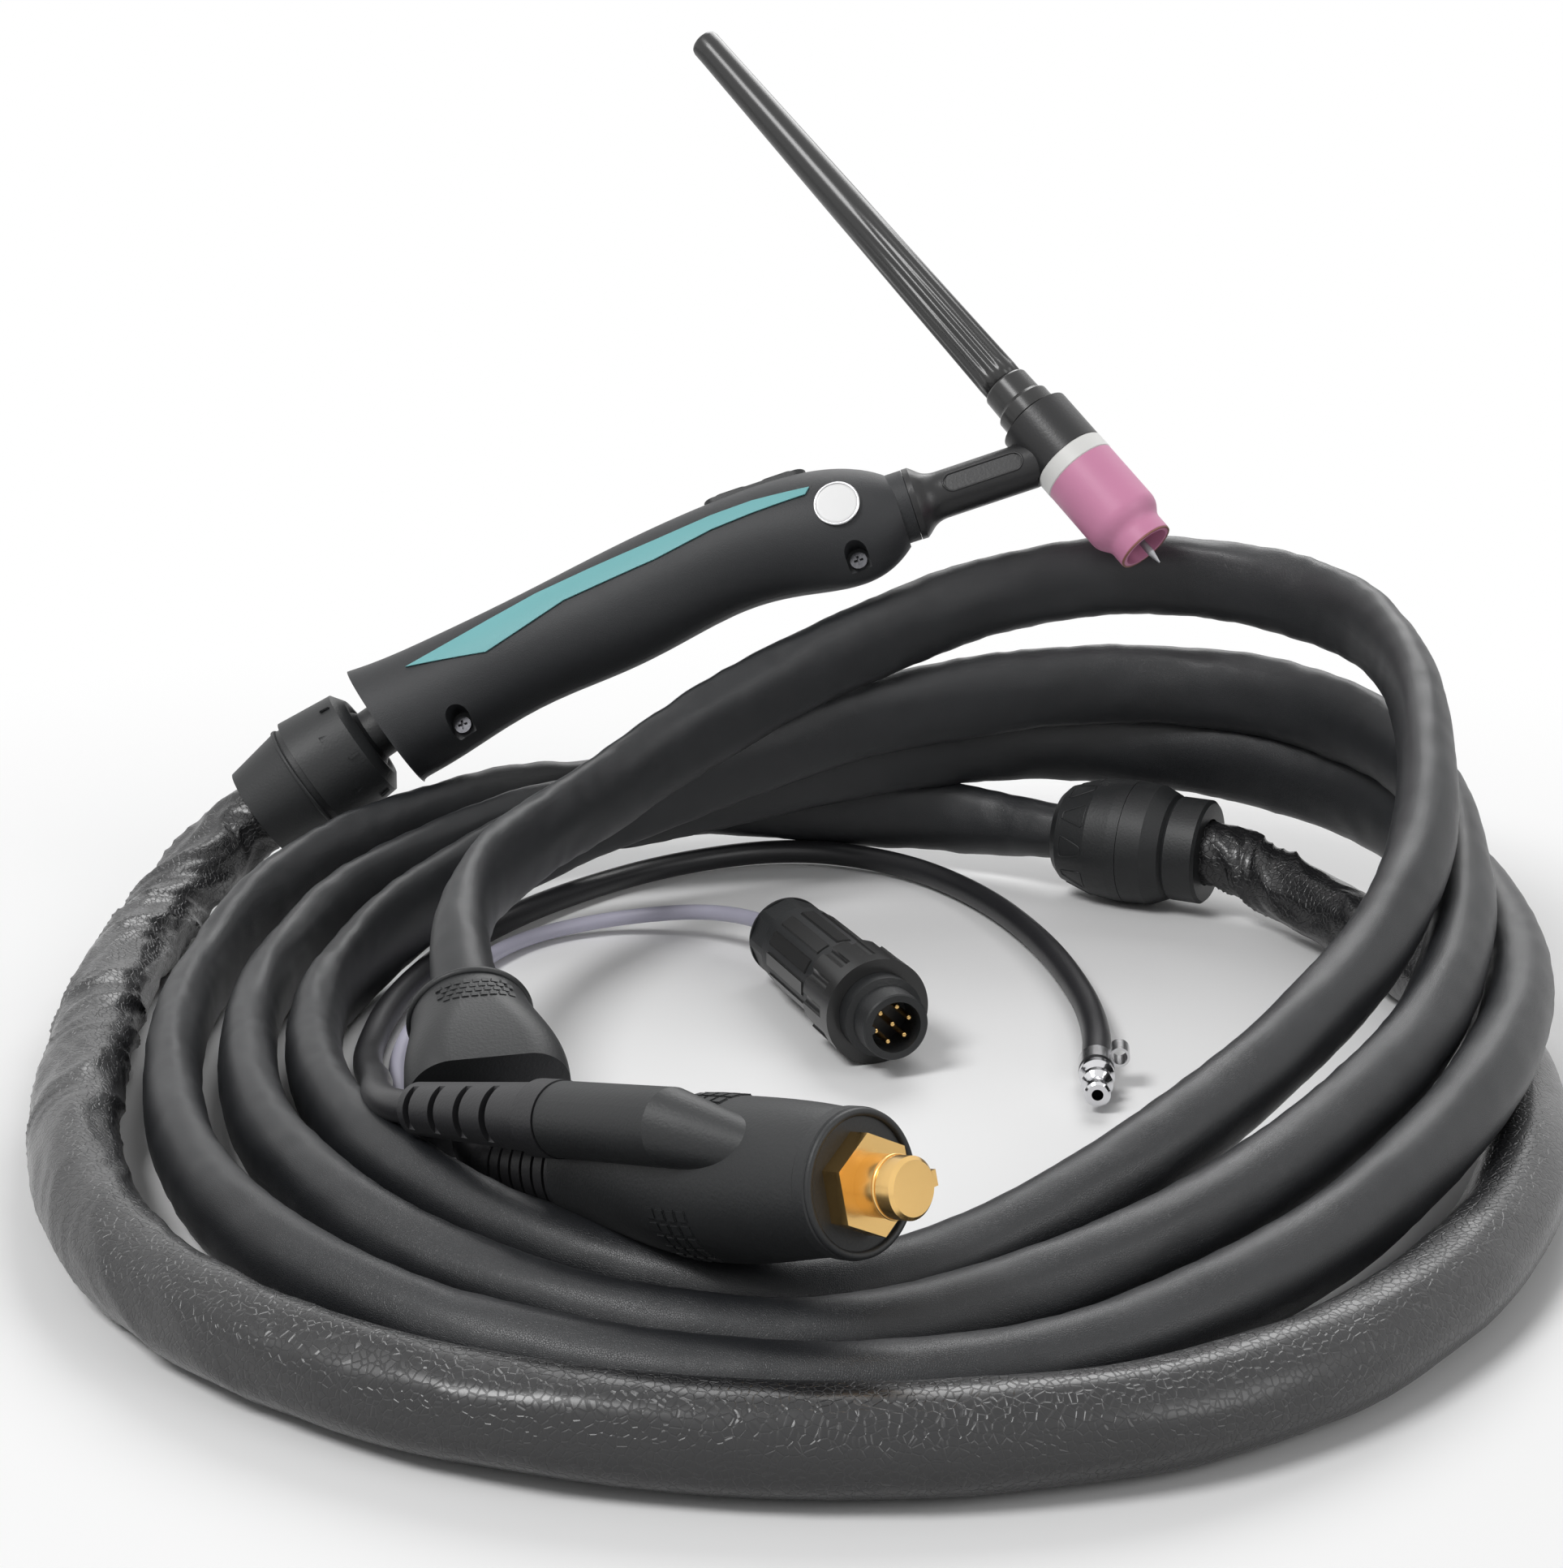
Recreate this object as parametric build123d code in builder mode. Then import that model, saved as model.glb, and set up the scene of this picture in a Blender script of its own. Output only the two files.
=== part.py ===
import os
from math import cos, radians, sin, sqrt, tan

from build123d import *

os.makedirs("parts", exist_ok=True)

# ---- driving dimensions, mm ------------------------------------------------
# Points are written from the middle of the coil on the floor (X right, Y away, Z up)
# and shifted so that the base of the machine plug's contact pin, in front of its hexagon, is the origin.
FLANGE_FACE = (16.0, -164.0, 51.0)
PIN_BASE = (19.3, -167.5, 52.3)
GAP = 0.3                      # air between neighbouring moulded faces
RUN = 0.06                     # radial clearance of a running fit

HEAD_POINT = (92.7, 191.9, 153.3)      # torch: head axis meets neck axis
TORCH_ALONG = (0.948, 0.013, 0.318)    # handle to head
TORCH_UP = (-0.274, 0.543, 0.794)      # towards the back cap
HEAD_ANGLE = 70.0                      # back cap against the handle

NOZZLE_LENGTH = 34.5
NOZZLE_R = 12.7
NOZZLE_MOUTH_R = 9.7
NOZZLE_BORE_R = 7.9
HEAD_R = 12.7
CAP_BASE_R = 7.5
CAP_TIP_R = 5.35
CAP_LENGTH = 178.0
ELECTRODE_R = 1.2
ELECTRODE_STICK_OUT = 7.0
NECK_R = 8.0
HANDLE_WALL = 2.8
HANDLE_HALF_WIDTH = 17.8
BADGE_R = 7.2
BALL_R = 14.0

LEATHER_R = 11.0
SLEEVE_R = 9.25
GAS_R = 4.15
CONTROL_R = 2.5
POWER_R = 6.0

FLANGE_R = 15.7
PIN_R = 6.5
SHANK_R = 7.5                    # contact pin inside the plug
HEX_ACROSS_FLATS = 19.0
HEX_THICK = 5.0
PIN_REACH = 15.7


def at(x, y, z):
    return (x - PIN_BASE[0], y - PIN_BASE[1], z - PIN_BASE[2])


def shifted(route):
    return [at(*point) for point in route]


def bend_radii(name, points):
    """Largest tangent arcs that fit the runs on both sides of every point."""
    radii = []
    for before, here, after in zip(points, points[1:], points[2:]):
        run_in = Vector(*here) - Vector(*before)
        run_out = Vector(*after) - Vector(*here)
        half_turn = radians(run_in.get_angle(run_out)) / 2
        shorter = min(run_in.length, run_out.length)
        radii.append(0.45 * shorter / tan(half_turn))
    if radii:
        print(f"{name}: bend radii {min(radii):.0f} to {max(radii):.0f} mm")
    return radii


def placed(frame, plane):
    """The plane given in frame's own coordinates."""
    return Plane(frame.location * plane.location)


def moved(frame, x=0.0, y=0.0, z=0.0):
    """The plane parallel to frame whose origin is frame's local point x, y, z."""
    return placed(frame, Plane((x, y, z)))


def section(frame):
    """Profile plane of a turned piece: sketch x is the radius, sketch y runs along frame's z."""
    return placed(frame, Plane.XZ)


def axis_of(frame):
    return Axis(frame.origin, frame.z_dir)


# ---- frames ------------------------------------------------------------------
TORCH = Plane(at(*HEAD_POINT), x_dir=TORCH_ALONG, z_dir=TORCH_UP)
COS_HEAD = cos(radians(HEAD_ANGLE))
SIN_HEAD = sin(radians(HEAD_ANGLE))
HEAD = placed(TORCH, Plane((0, 0, 0), x_dir=(SIN_HEAD, 0, COS_HEAD), z_dir=(-COS_HEAD, 0, SIN_HEAD)))
NECK_DROP = -2.5
NECK = placed(TORCH, Plane((0, 0, NECK_DROP), x_dir=(0, 1, 0), z_dir=(-1, 0, 0)))
REAR_TILT = 18.0
REAR_DIR = (-cos(radians(REAR_TILT)), 0, -sin(radians(REAR_TILT)))
REAR = placed(TORCH, Plane((-244.5, 0, -18.5), x_dir=(0, 1, 0), z_dir=REAR_DIR))
PLUG_AXIS = (0.668, -0.700, 0.253)
PLUG = Plane(at(*FLANGE_FACE), x_dir=(0.7234, 0.6904, 0), z_dir=PLUG_AXIS)
HOUSE = Plane(at(-81, -24, 31), x_dir=(0.9676, 0.2524, 0), z_dir=(0.24, -0.92, -0.31))
COUPLING = Plane(at(98, 187, 21.3), x_dir=(0.471, 0.882, 0), z_dir=(0.882, -0.471, 0))
ROUND_PLUG = Plane(at(32, 14, 16), x_dir=(0.9366, 0.3504, 0), z_dir=(0.3504, -0.9366, 0.012))

# ---- torch head ------------------------------------------------------------
# Stations run along the head axis from HEAD's origin, positive towards the back cap.
MOUTH = -46.0
RING_LOW = -11.5
RING_HIGH = -5.3
HEAD_LOW = RING_HIGH
HEAD_HIGH = 13.2
COLLAR_HIGH = 29.5
CAP_TOP = COLLAR_HIGH + CAP_LENGTH
CORE_R = 9.0
CORE_BORE_R = 5.1
NECK_SHOULDER = 42.0
NECK_FACE = 52.5
NECK_FLARE_R = 12.2
NECK_STUB_R = 9.0
NECK_STUB_END = 66.0
GAS_TUBE_R = 4.0

with BuildPart() as ceramic_nozzle:
    with BuildSketch(section(HEAD)):
        with BuildLine():
            Polyline((NOZZLE_BORE_R, MOUTH), (NOZZLE_MOUTH_R - 0.6, MOUTH), (NOZZLE_MOUTH_R, MOUTH + 0.6))
            Line((NOZZLE_MOUTH_R, MOUTH + 0.6), (NOZZLE_MOUTH_R, MOUTH + 5))
            Spline(
                (NOZZLE_MOUTH_R, MOUTH + 5),
                (NOZZLE_MOUTH_R + 1.5, MOUTH + 8.5),
                (NOZZLE_R, MOUTH + 13),
                tangents=((0, 1), (0, 1)),
            )
            Polyline(
                (NOZZLE_R, MOUTH + 13),
                (NOZZLE_R, RING_LOW - 0.05),
                (CORE_R + RUN, RING_LOW - 0.05),
                (CORE_R + RUN, RING_LOW - 12),
                (10.2, RING_LOW - 13),
                (10.2, MOUTH + 12),
                (NOZZLE_BORE_R, MOUTH + 6),
                (NOZZLE_BORE_R, MOUTH),
            )
        make_face()
    revolve(axis=axis_of(HEAD))

with BuildPart() as insulator_ring:
    with BuildSketch(moved(HEAD, z=RING_LOW)):
        Circle(NOZZLE_R + 0.1)
        Circle(CORE_BORE_R, mode=Mode.SUBTRACT)
    extrude(amount=RING_HIGH - RING_LOW)
    chamfer(insulator_ring.edges().filter_by(GeomType.CIRCLE).sort_by(SortBy.RADIUS)[-2:], 0.4)

with BuildPart() as head_core:
    with BuildSketch(moved(HEAD, z=HEAD_LOW)):
        Circle(CORE_R)
        Circle(CORE_BORE_R, mode=Mode.SUBTRACT)
    extrude(amount=HEAD_HIGH - HEAD_LOW - 0.2)
    with BuildSketch(moved(NECK, z=CORE_BORE_R + 1.5)):
        Circle(2.6)
    extrude(amount=4, mode=Mode.SUBTRACT)

with BuildPart() as head_body:
    with BuildSketch(moved(HEAD, z=HEAD_LOW)):
        Circle(HEAD_R)
    extrude(amount=HEAD_HIGH - HEAD_LOW)
    with BuildSketch(section(NECK)):
        with BuildLine():
            Polyline((0, 2), (NECK_R, 2), (NECK_R, NECK_SHOULDER))
            Spline(
                (NECK_R, NECK_SHOULDER),
                (NECK_R + 1.4, NECK_SHOULDER + 5),
                (NECK_FLARE_R, NECK_FACE - 2),
                tangents=((0, 1), (0.6, 1)),
            )
            Polyline(
                (NECK_FLARE_R, NECK_FACE - 2),
                (NECK_FLARE_R, NECK_FACE),
                (NECK_STUB_R, NECK_FACE),
                (NECK_STUB_R, NECK_STUB_END),
                (0, NECK_STUB_END),
                (0, 2),
            )
        make_face()
    revolve(axis=axis_of(NECK))
    with BuildSketch(moved(HEAD, z=HEAD_LOW - 20)):
        Circle(NOZZLE_R + 0.8)
    extrude(amount=20, mode=Mode.SUBTRACT)
    with BuildSketch(moved(HEAD, z=HEAD_LOW - 1)):
        Circle(CORE_R)
    extrude(amount=HEAD_HIGH - HEAD_LOW + 2, mode=Mode.SUBTRACT)
    with BuildSketch(moved(NECK, z=4)):
        Circle(GAS_TUBE_R)
    extrude(amount=NECK_STUB_END, mode=Mode.SUBTRACT)
    with BuildSketch(placed(TORCH, Plane((-27, -NECK_R + 0.7, NECK_DROP), x_dir=(1, 0, 0), z_dir=(0, -1, 0)))):
        SlotOverall(26, 8.5)
    extrude(amount=3, mode=Mode.SUBTRACT)

with BuildPart() as gas_power_tube:
    with BuildSketch(moved(NECK, z=CORE_R + 2.8)):
        Circle(GAS_TUBE_R - 0.02)
        Circle(GAS_TUBE_R - 1.0, mode=Mode.SUBTRACT)
    extrude(amount=NECK_STUB_END + 22 - CORE_R)

COLLET_BODY_NOSE = MOUTH + 5.0
with BuildPart() as collet_body:
    with BuildSketch(section(HEAD)):
        with BuildLine():
            Polyline(
                (ELECTRODE_R + RUN, COLLET_BODY_NOSE),
                (3.4, COLLET_BODY_NOSE),
                (4.2, COLLET_BODY_NOSE + 3),
                (4.2, RING_LOW - 14),
                (CORE_R, RING_LOW - 11),
                (CORE_R, RING_LOW),
                (CORE_BORE_R - 0.02, RING_LOW),
                (CORE_BORE_R - 0.02, 4),
                (2.5, 4),
                (2.5, COLLET_BODY_NOSE + 6),
                (ELECTRODE_R + RUN, COLLET_BODY_NOSE + 4),
                close=True,
            )
        make_face()
    revolve(axis=axis_of(HEAD))
    for across in ((1, 0, 0), (0, 1, 0)):
        with BuildSketch(placed(HEAD, Plane((0, 0, RING_LOW - 17.5), z_dir=across))):
            Circle(0.9)
        extrude(amount=6, both=True, mode=Mode.SUBTRACT)

with BuildPart() as collet:
    with BuildSketch(moved(HEAD, z=COLLET_BODY_NOSE + 8)):
        Circle(2.2)
        Circle(ELECTRODE_R + RUN, mode=Mode.SUBTRACT)
    extrude(amount=50)

with BuildPart() as electrode:
    with BuildSketch(section(HEAD)):
        with BuildLine():
            Polyline(
                (0, MOUTH - ELECTRODE_STICK_OUT),
                (0.25, MOUTH - ELECTRODE_STICK_OUT),
                (ELECTRODE_R, MOUTH - ELECTRODE_STICK_OUT + 4.5),
                (ELECTRODE_R, 97),
                (0, 97),
                close=True,
            )
        make_face()
    revolve(axis=axis_of(HEAD))

with BuildPart() as cap_collar:
    with BuildSketch(section(HEAD)):
        with BuildLine():
            Polyline(
                (CAP_BASE_R + 0.02, HEAD_HIGH + 0.1),
                (8.4, HEAD_HIGH + 0.1),
                (9.7, HEAD_HIGH + 1.6),
                (9.7, HEAD_HIGH + 6.5),
                (8.4, HEAD_HIGH + 8),
                (8.25, COLLAR_HIGH - 0.6),
                (7.9, COLLAR_HIGH),
                (CAP_BASE_R + 0.02, COLLAR_HIGH),
                close=True,
            )
        make_face()
    revolve(axis=axis_of(HEAD))

CAP_STUB_R = CORE_BORE_R - RUN
CAP_BORE_R = 2.6
with BuildPart() as back_cap:
    with BuildSketch(section(HEAD)):
        with BuildLine():
            Polyline(
                (CAP_BORE_R, 5.5),
                (CAP_STUB_R, 5.5),
                (CAP_STUB_R, HEAD_HIGH + 0.1),
                (CAP_BASE_R, HEAD_HIGH + 0.1),
                (CAP_BASE_R, COLLAR_HIGH + 4),
                (CAP_TIP_R, CAP_TOP - 6),
                (CAP_TIP_R, CAP_TOP - 1),
                (CAP_TIP_R - 1, CAP_TOP),
                (0, CAP_TOP),
                (0, CAP_TOP - 12),
                (CAP_BORE_R, CAP_TOP - 12),
                close=True,
            )
        make_face()
    revolve(axis=axis_of(HEAD))

with BuildPart() as cap_oring:
    with BuildSketch(section(HEAD)):
        with Locations((CORE_BORE_R + 2.2, HEAD_HIGH - 0.05)):
            Rectangle(1.8, 0.2)
    revolve(axis=axis_of(HEAD))

# ---- handle ------------------------------------------------------------------
# Station along the handle, middle height, half height and half width of the outer skin.
HANDLE_SKIN = [
    (-57, -3.7, 12.2, 12.2),
    (-62, -3.6, 16.0, 14.2),
    (-75, -2.6, 20.6, 17.2),
    (-100, 0.6, 20.1, HANDLE_HALF_WIDTH),
    (-144, -3.0, 20.3, HANDLE_HALF_WIDTH),
    (-174, -7.1, 19.7, 17.6),
    (-203, -11.4, 19.5, 17.6),
    (-227, -16.2, 21.2, 18.6),
]
HANDLE_REAR_HALF = (23.2, 19.6)
HANDLE_FRONT = -NECK_FACE - 0.2


def skin_section(station, middle_height, half_height, half_width, grow):
    plane = placed(TORCH, Plane((station, 0, middle_height), x_dir=(0, 1, 0), z_dir=(1, 0, 0)))
    return plane, half_width + grow, half_height + grow


def skin_sections(grow):
    """Planes and half sizes of the handle's cross-sections, the slanted rear face last."""
    rear = placed(TORCH, Plane((-244.3, 0, -18.5), x_dir=(0, 1, 0), z_dir=tuple(-v for v in REAR_DIR)))
    sections = [skin_section(*row, grow) for row in HANDLE_SKIN]
    return [*sections, (rear, HANDLE_REAR_HALF[1] + grow, HANDLE_REAR_HALF[0] + grow)]


# Inner space: station of the front end, middle height, half height, half width, length.
HANDLE_HOLLOW = [
    (-66, -3.0, 13.0, 11.0, 12.1),
    (-78, -1.4, 15.6, 13.6, 46.1),
    (-124, -3.0, 15.4, 13.6, 26.1),
    (-150, -6.5, 14.6, 13.4, 32.1),
    (-182, -12.0, 13.6, 13.4, 52),
]


INLAY_OUTLINE = [
    (-229, -7.5), (-201.5, -11.8), (-172, -3), (-139, 0.5), (-118, 4.4), (-104, 5.3), (-85, 5.7),
    (-83, 8.2), (-102.5, 10.2), (-117, 10), (-137, 8), (-161, 6), (-181, 4), (-198, 0.2), (-213, -3.5),
]
INLAY_LIFT = 0.05                     # air between the shell and the bonded inlay
INLAY_THICK = 0.6
BADGE_AT = (-76.0, -1.2)
SCREWS_AT = [(-75.0, -19.0), (-217.0, -30.0)]
SCREW_R = 2.85
SCREW_LEVEL = 6.0                       # recess floor, outwards from the parting plane
SIDE = placed(TORCH, Plane((0, 0, 0), x_dir=(1, 0, 0), z_dir=(0, -1, 0)))

with BuildPart() as inlay_left:
    for plane, wide, high in skin_sections(INLAY_LIFT + INLAY_THICK):
        with BuildSketch(plane):
            Ellipse(wide, high)
    loft()
    with BuildSketch(SIDE):
        with BuildLine():
            Polyline(*INLAY_OUTLINE, close=True)
        make_face()
    extrude(amount=40, mode=Mode.INTERSECT)
    for plane, wide, high in skin_sections(INLAY_LIFT):
        with BuildSketch(plane):
            Ellipse(wide, high)
    loft(mode=Mode.SUBTRACT)

with BuildPart() as inlay_right:
    add(inlay_left.part.mirror(Plane(TORCH.origin, x_dir=TORCH.x_dir, z_dir=TORCH.y_dir)))

# The trigger module sits in a slot along the top of the handle.
BUTTON_Z = 19.4
SLOT_MIDDLE = -101.0
SLOT_LENGTH = 36.0
SLOT_WIDTH = 13.0
BUTTON_LENGTH = 13.0
BUTTON_WIDTH = 8.0
BUTTON_TRAVEL = 1.5
BUTTON_FRONT = SLOT_MIDDLE + 8.2
BUTTON_REAR = SLOT_MIDDLE - 8.2
BOARD_Z = 8.0

with BuildPart() as handle_cutter:
    with BuildSketch(moved(NECK, z=NECK_FACE)):
        Circle(NECK_STUB_R + 0.05)
    extrude(amount=20)
    with BuildSketch(moved(REAR, z=-14)):
        Circle(9.05)
    extrude(amount=16)
    with BuildSketch(moved(REAR, z=-16)):
        Circle(12.3)
    extrude(amount=9.8)
    with BuildSketch(moved(TORCH, x=SLOT_MIDDLE, z=BUTTON_Z - 6)):
        RectangleRounded(SLOT_LENGTH + 0.2, SLOT_WIDTH + 0.2, 4)
    extrude(amount=12)
    for along, height in SCREWS_AT:
        with BuildSketch(moved(SIDE, x=along, y=height, z=SCREW_LEVEL)):
            SlotCenterToCenter(2.5, 7.6, rotation=90)
        extrude(amount=14)
    for facing in (1, -1):
        with BuildSketch(moved(SIDE, x=BADGE_AT[0], y=BADGE_AT[1], z=facing * 15.9)):
            Circle(BADGE_R + 0.1)
        extrude(amount=facing * 6)

with BuildPart() as handle_shell_left:
    for plane, wide, high in skin_sections(0):
        with BuildSketch(plane):
            Ellipse(wide, high)
    loft()
    with BuildSketch(moved(NECK, z=-HANDLE_FRONT)):
        Circle(12.1)
    extrude(amount=6)
    for station, height, high, wide, length in HANDLE_HOLLOW:
        with BuildSketch(placed(TORCH, Plane((station, 0, height), x_dir=(0, -1, 0), z_dir=(-1, 0, 0)))):
            Ellipse(wide, high)
        extrude(amount=length, mode=Mode.SUBTRACT)
    add(handle_cutter.part, mode=Mode.SUBTRACT)
    split(bisect_by=Plane(TORCH.origin, x_dir=TORCH.x_dir, z_dir=-TORCH.y_dir), keep=Keep.TOP)

with BuildPart() as handle_shell_right:
    for plane, wide, high in skin_sections(0):
        with BuildSketch(plane):
            Ellipse(wide, high)
    loft()
    with BuildSketch(moved(NECK, z=-HANDLE_FRONT)):
        Circle(12.1)
    extrude(amount=6)
    for station, height, high, wide, length in HANDLE_HOLLOW:
        with BuildSketch(placed(TORCH, Plane((station, 0, height), x_dir=(0, -1, 0), z_dir=(-1, 0, 0)))):
            Ellipse(wide, high)
        extrude(amount=length, mode=Mode.SUBTRACT)
    add(handle_cutter.part, mode=Mode.SUBTRACT)
    split(bisect_by=Plane(TORCH.origin, x_dir=TORCH.x_dir, z_dir=TORCH.y_dir), keep=Keep.TOP)

with BuildPart() as badge_left:
    with BuildSketch(moved(SIDE, x=BADGE_AT[0], y=BADGE_AT[1], z=16.0)):
        Circle(BADGE_R)
    extrude(amount=2.0)
    fillet(badge_left.faces().sort_by(Axis(TORCH.origin, SIDE.z_dir))[-1].edges(), 0.9)

with BuildPart() as badge_right:
    add(badge_left.part.mirror(Plane(TORCH.origin, x_dir=TORCH.x_dir, z_dir=TORCH.y_dir)))

with BuildPart() as handle_screws:
    for along, height in SCREWS_AT:
        with BuildSketch(moved(SIDE, x=along, y=height, z=SCREW_LEVEL + 0.05)):
            Circle(SCREW_R)
        extrude(amount=2.3)
        with BuildSketch(moved(SIDE, x=along, y=height, z=SCREW_LEVEL + 1.35)):
            Rectangle(3.2, 0.8)
            Rectangle(0.8, 3.2)
        extrude(amount=2, mode=Mode.SUBTRACT)

with BuildPart() as trigger_frame:
    with BuildSketch(moved(TORCH, x=SLOT_MIDDLE, z=BUTTON_Z - 5.8)):
        RectangleRounded(SLOT_LENGTH, SLOT_WIDTH, 3.9)
    extrude(amount=6.8)
    with BuildSketch(moved(TORCH, x=SLOT_MIDDLE, z=BUTTON_Z - 8)):
        with Locations((BUTTON_FRONT - SLOT_MIDDLE, 0), (BUTTON_REAR - SLOT_MIDDLE, 0)):
            RectangleRounded(BUTTON_LENGTH + 2 * RUN, BUTTON_WIDTH + 2 * RUN, 3)
    extrude(amount=12, mode=Mode.SUBTRACT)

with BuildPart() as front_button:
    with BuildSketch(moved(TORCH, x=BUTTON_FRONT, z=BUTTON_Z - 4)):
        RectangleRounded(BUTTON_LENGTH, BUTTON_WIDTH, 3 - RUN)
    extrude(amount=6.8)
    fillet(front_button.faces().sort_by(axis_of(TORCH))[-1].edges(), 0.8)

with BuildPart() as rear_button:
    with BuildSketch(moved(TORCH, x=BUTTON_REAR, z=BUTTON_Z - 4)):
        RectangleRounded(BUTTON_LENGTH, BUTTON_WIDTH, 3 - RUN)
    extrude(amount=6.8)
    fillet(rear_button.faces().sort_by(axis_of(TORCH))[-1].edges(), 0.8)

with BuildPart() as switch_board:
    with BuildSketch(moved(TORCH, x=SLOT_MIDDLE, z=BOARD_Z)):
        Rectangle(42, 17)
    extrude(amount=1.6)

with BuildPart() as micro_switches:
    for along in (BUTTON_FRONT, BUTTON_REAR):
        with BuildSketch(moved(TORCH, x=along, z=BOARD_Z + 1.6)):
            Rectangle(6, 6)
        extrude(amount=2.4)
        with BuildSketch(moved(TORCH, x=along, z=BOARD_Z + 4.0)):
            Circle(1.6)
        extrude(amount=1.2)

# ---- swivel behind the handle ---------------------------------------------------
# Stations run backwards along REAR's axis from the handle's rear face.
BALL_AT = 16.0
SOCKET_R = BALL_R + RUN + 0.02
NUT_REAR = 29.0
CONE_REAR = 51.0
LEATHER_START = 40.0
ball_neck_z = BALL_AT - sqrt(BALL_R**2 - 9.0**2)
ball_cut_z = BALL_AT + sqrt(BALL_R**2 - 10.0**2)

with BuildPart() as swivel_ball:
    with BuildSketch(section(REAR)):
        with BuildLine():
            Polyline(
                (6, ball_cut_z),
                (6, -9.3),
                (12, -9.3),
                (12, -6.3),
                (9.0, -6.3),
                (9.0, ball_neck_z),
            )
            ThreePointArc((9.0, ball_neck_z), (BALL_R, BALL_AT), (10.0, ball_cut_z))
            Line((10.0, ball_cut_z), (6, ball_cut_z))
        make_face()
    revolve(axis=axis_of(REAR))

LIP_Z = 8.6
lip_r = sqrt(SOCKET_R**2 - (BALL_AT - LIP_Z)**2)
with BuildPart() as ring_nut:
    with BuildSketch(section(REAR)):
        with BuildLine():
            Polyline((lip_r, LIP_Z), (13.0, 6.2), (15.0, 6.2), (19.3, 9.2), (21.4, NUT_REAR - 0.3))
            Polyline((21.4, NUT_REAR - 0.3), (16.2, NUT_REAR - 0.3), (16.2, BALL_AT), (SOCKET_R, BALL_AT))
            ThreePointArc(
                (SOCKET_R, BALL_AT),
                (SOCKET_R * cos(radians(16)), BALL_AT - SOCKET_R * sin(radians(16))),
                (lip_r, LIP_Z),
            )
        make_face()
    revolve(axis=axis_of(REAR))
    with BuildSketch(moved(REAR, z=9.6)):
        with PolarLocations(22.6, 6):
            Circle(2.6)
    extrude(amount=9, mode=Mode.SUBTRACT)

cone_face_z = BALL_AT + SOCKET_R * sin(radians(1))
with BuildPart() as clamp_cone:
    with BuildSketch(section(REAR)):
        with BuildLine():
            ThreePointArc(
                (SOCKET_R * cos(radians(1)), cone_face_z),
                (SOCKET_R * cos(radians(22)), BALL_AT + SOCKET_R * sin(radians(22))),
                (11.6, BALL_AT + sqrt(SOCKET_R**2 - 11.6**2)),
            )
            Polyline(
                (11.6, BALL_AT + sqrt(SOCKET_R**2 - 11.6**2)),
                (10.8, 27),
                (9.0, 27),
                (9.0, LEATHER_START),
                (LEATHER_R + 0.3, LEATHER_START),
                (LEATHER_R + 0.6, CONE_REAR),
                (16.4, CONE_REAR),
                (20.0, 31),
                (19.6, 31),
                (19.6, NUT_REAR),
                (16.1, NUT_REAR),
                (16.1, cone_face_z),
                (SOCKET_R * cos(radians(1)), cone_face_z),
            )
        make_face()
    revolve(axis=axis_of(REAR))

# ---- soft lines --------------------------------------------------------------
HOUSE_LENGTH = 32.0                # splitter housing
CONTROL_AT = (10, -9)              # outlets in its front wall
POWER_AT = (-3, -1)
LEATHER_FACE = REAR.from_local_coords(Vector(0, 0, LEATHER_START))
LEATHER_EXIT = REAR.from_local_coords(Vector(0, 0, 61))
LEATHER_ROUTE = shifted([
    (-192, 150, 19), (-198, 120, 13), (-199, 85, 11.5), (-196, 45, 11.5),
    (-191, 8, 11.5), (-184, -32, 11.5), (-174, -70, 11.5), (-158, -107, 11.5), (-135, -138, 11.5),
    (-101, -166, 11.5), (-60, -187, 11.5), (-15, -197, 11.5), (30, -198, 11.5), (76, -189, 11.5),
    (117, -166, 11.5), (151, -130, 11.5), (177, -88, 11.5), (192, -42, 11.5), (199, 5, 11.5),
    (197, 50, 11.5), (189, 90, 11.5), (177, 124, 13), (160, 150, 17),
])
TURN_1A = shifted([
    (80, 199, 20), (50, 213, 20), (14, 220, 22), (-24, 217, 25), (-60, 205, 29), (-94, 188, 31),
    (-124, 163, 30), (-148, 134, 26), (-165, 100, 20), (-172, 62, 13), (-170, 20, 9.5),
    (-161, -25, 9.5), (-147, -68, 9.5), (-126, -105, 9.5), (-98, -136, 9.5), (-65, -159, 9.5),
])
TURN_1B = shifted([
    (-27, -172, 9.5), (12, -177, 9.5), (54, -169, 11), (94, -149, 15), (130, -119, 21),
    (161, -82, 28), (186, -42, 34), (203, 8, 36), (208, 60, 38), (203, 112, 41), (186, 157, 44),
    (153, 193, 47), (116, 210, 47), (76, 212, 47), (36, 204, 45), (-4, 196, 38), (-44, 183, 32),
])
TURN_2A = shifted([
    (-80, 168, 30), (-112, 143, 26), (-137, 110, 20), (-151, 70, 13), (-151, 26, 9.5),
    (-142, -20, 9.5), (-127, -61, 9.5), (-104, -96, 9.5), (-75, -128, 9.5), (-39, -149, 9.5),
])
TURN_2B = shifted([
    (0, -158, 10), (40, -152, 14), (80, -132, 20), (116, -103, 26), (149, -67, 34),
    (176, -22, 42), (192, 30, 54), (198, 80, 64), (193, 126, 69), (176, 166, 71), (145, 192, 72),
    (108, 200, 71), (70, 197, 68), (34, 190, 62), (0, 181, 54), (-34, 166, 45),
])
TURN_3A = shifted([
    (-66, 148, 36), (-95, 123, 29), (-118, 94, 21), (-132, 58, 13), (-132, 18, 9.5),
    (-123, -20, 9.5), (-107, -56, 9.5), (-84, -88, 9.5), (-54, -116, 9.5), (-18, -134, 9.5),
])
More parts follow.
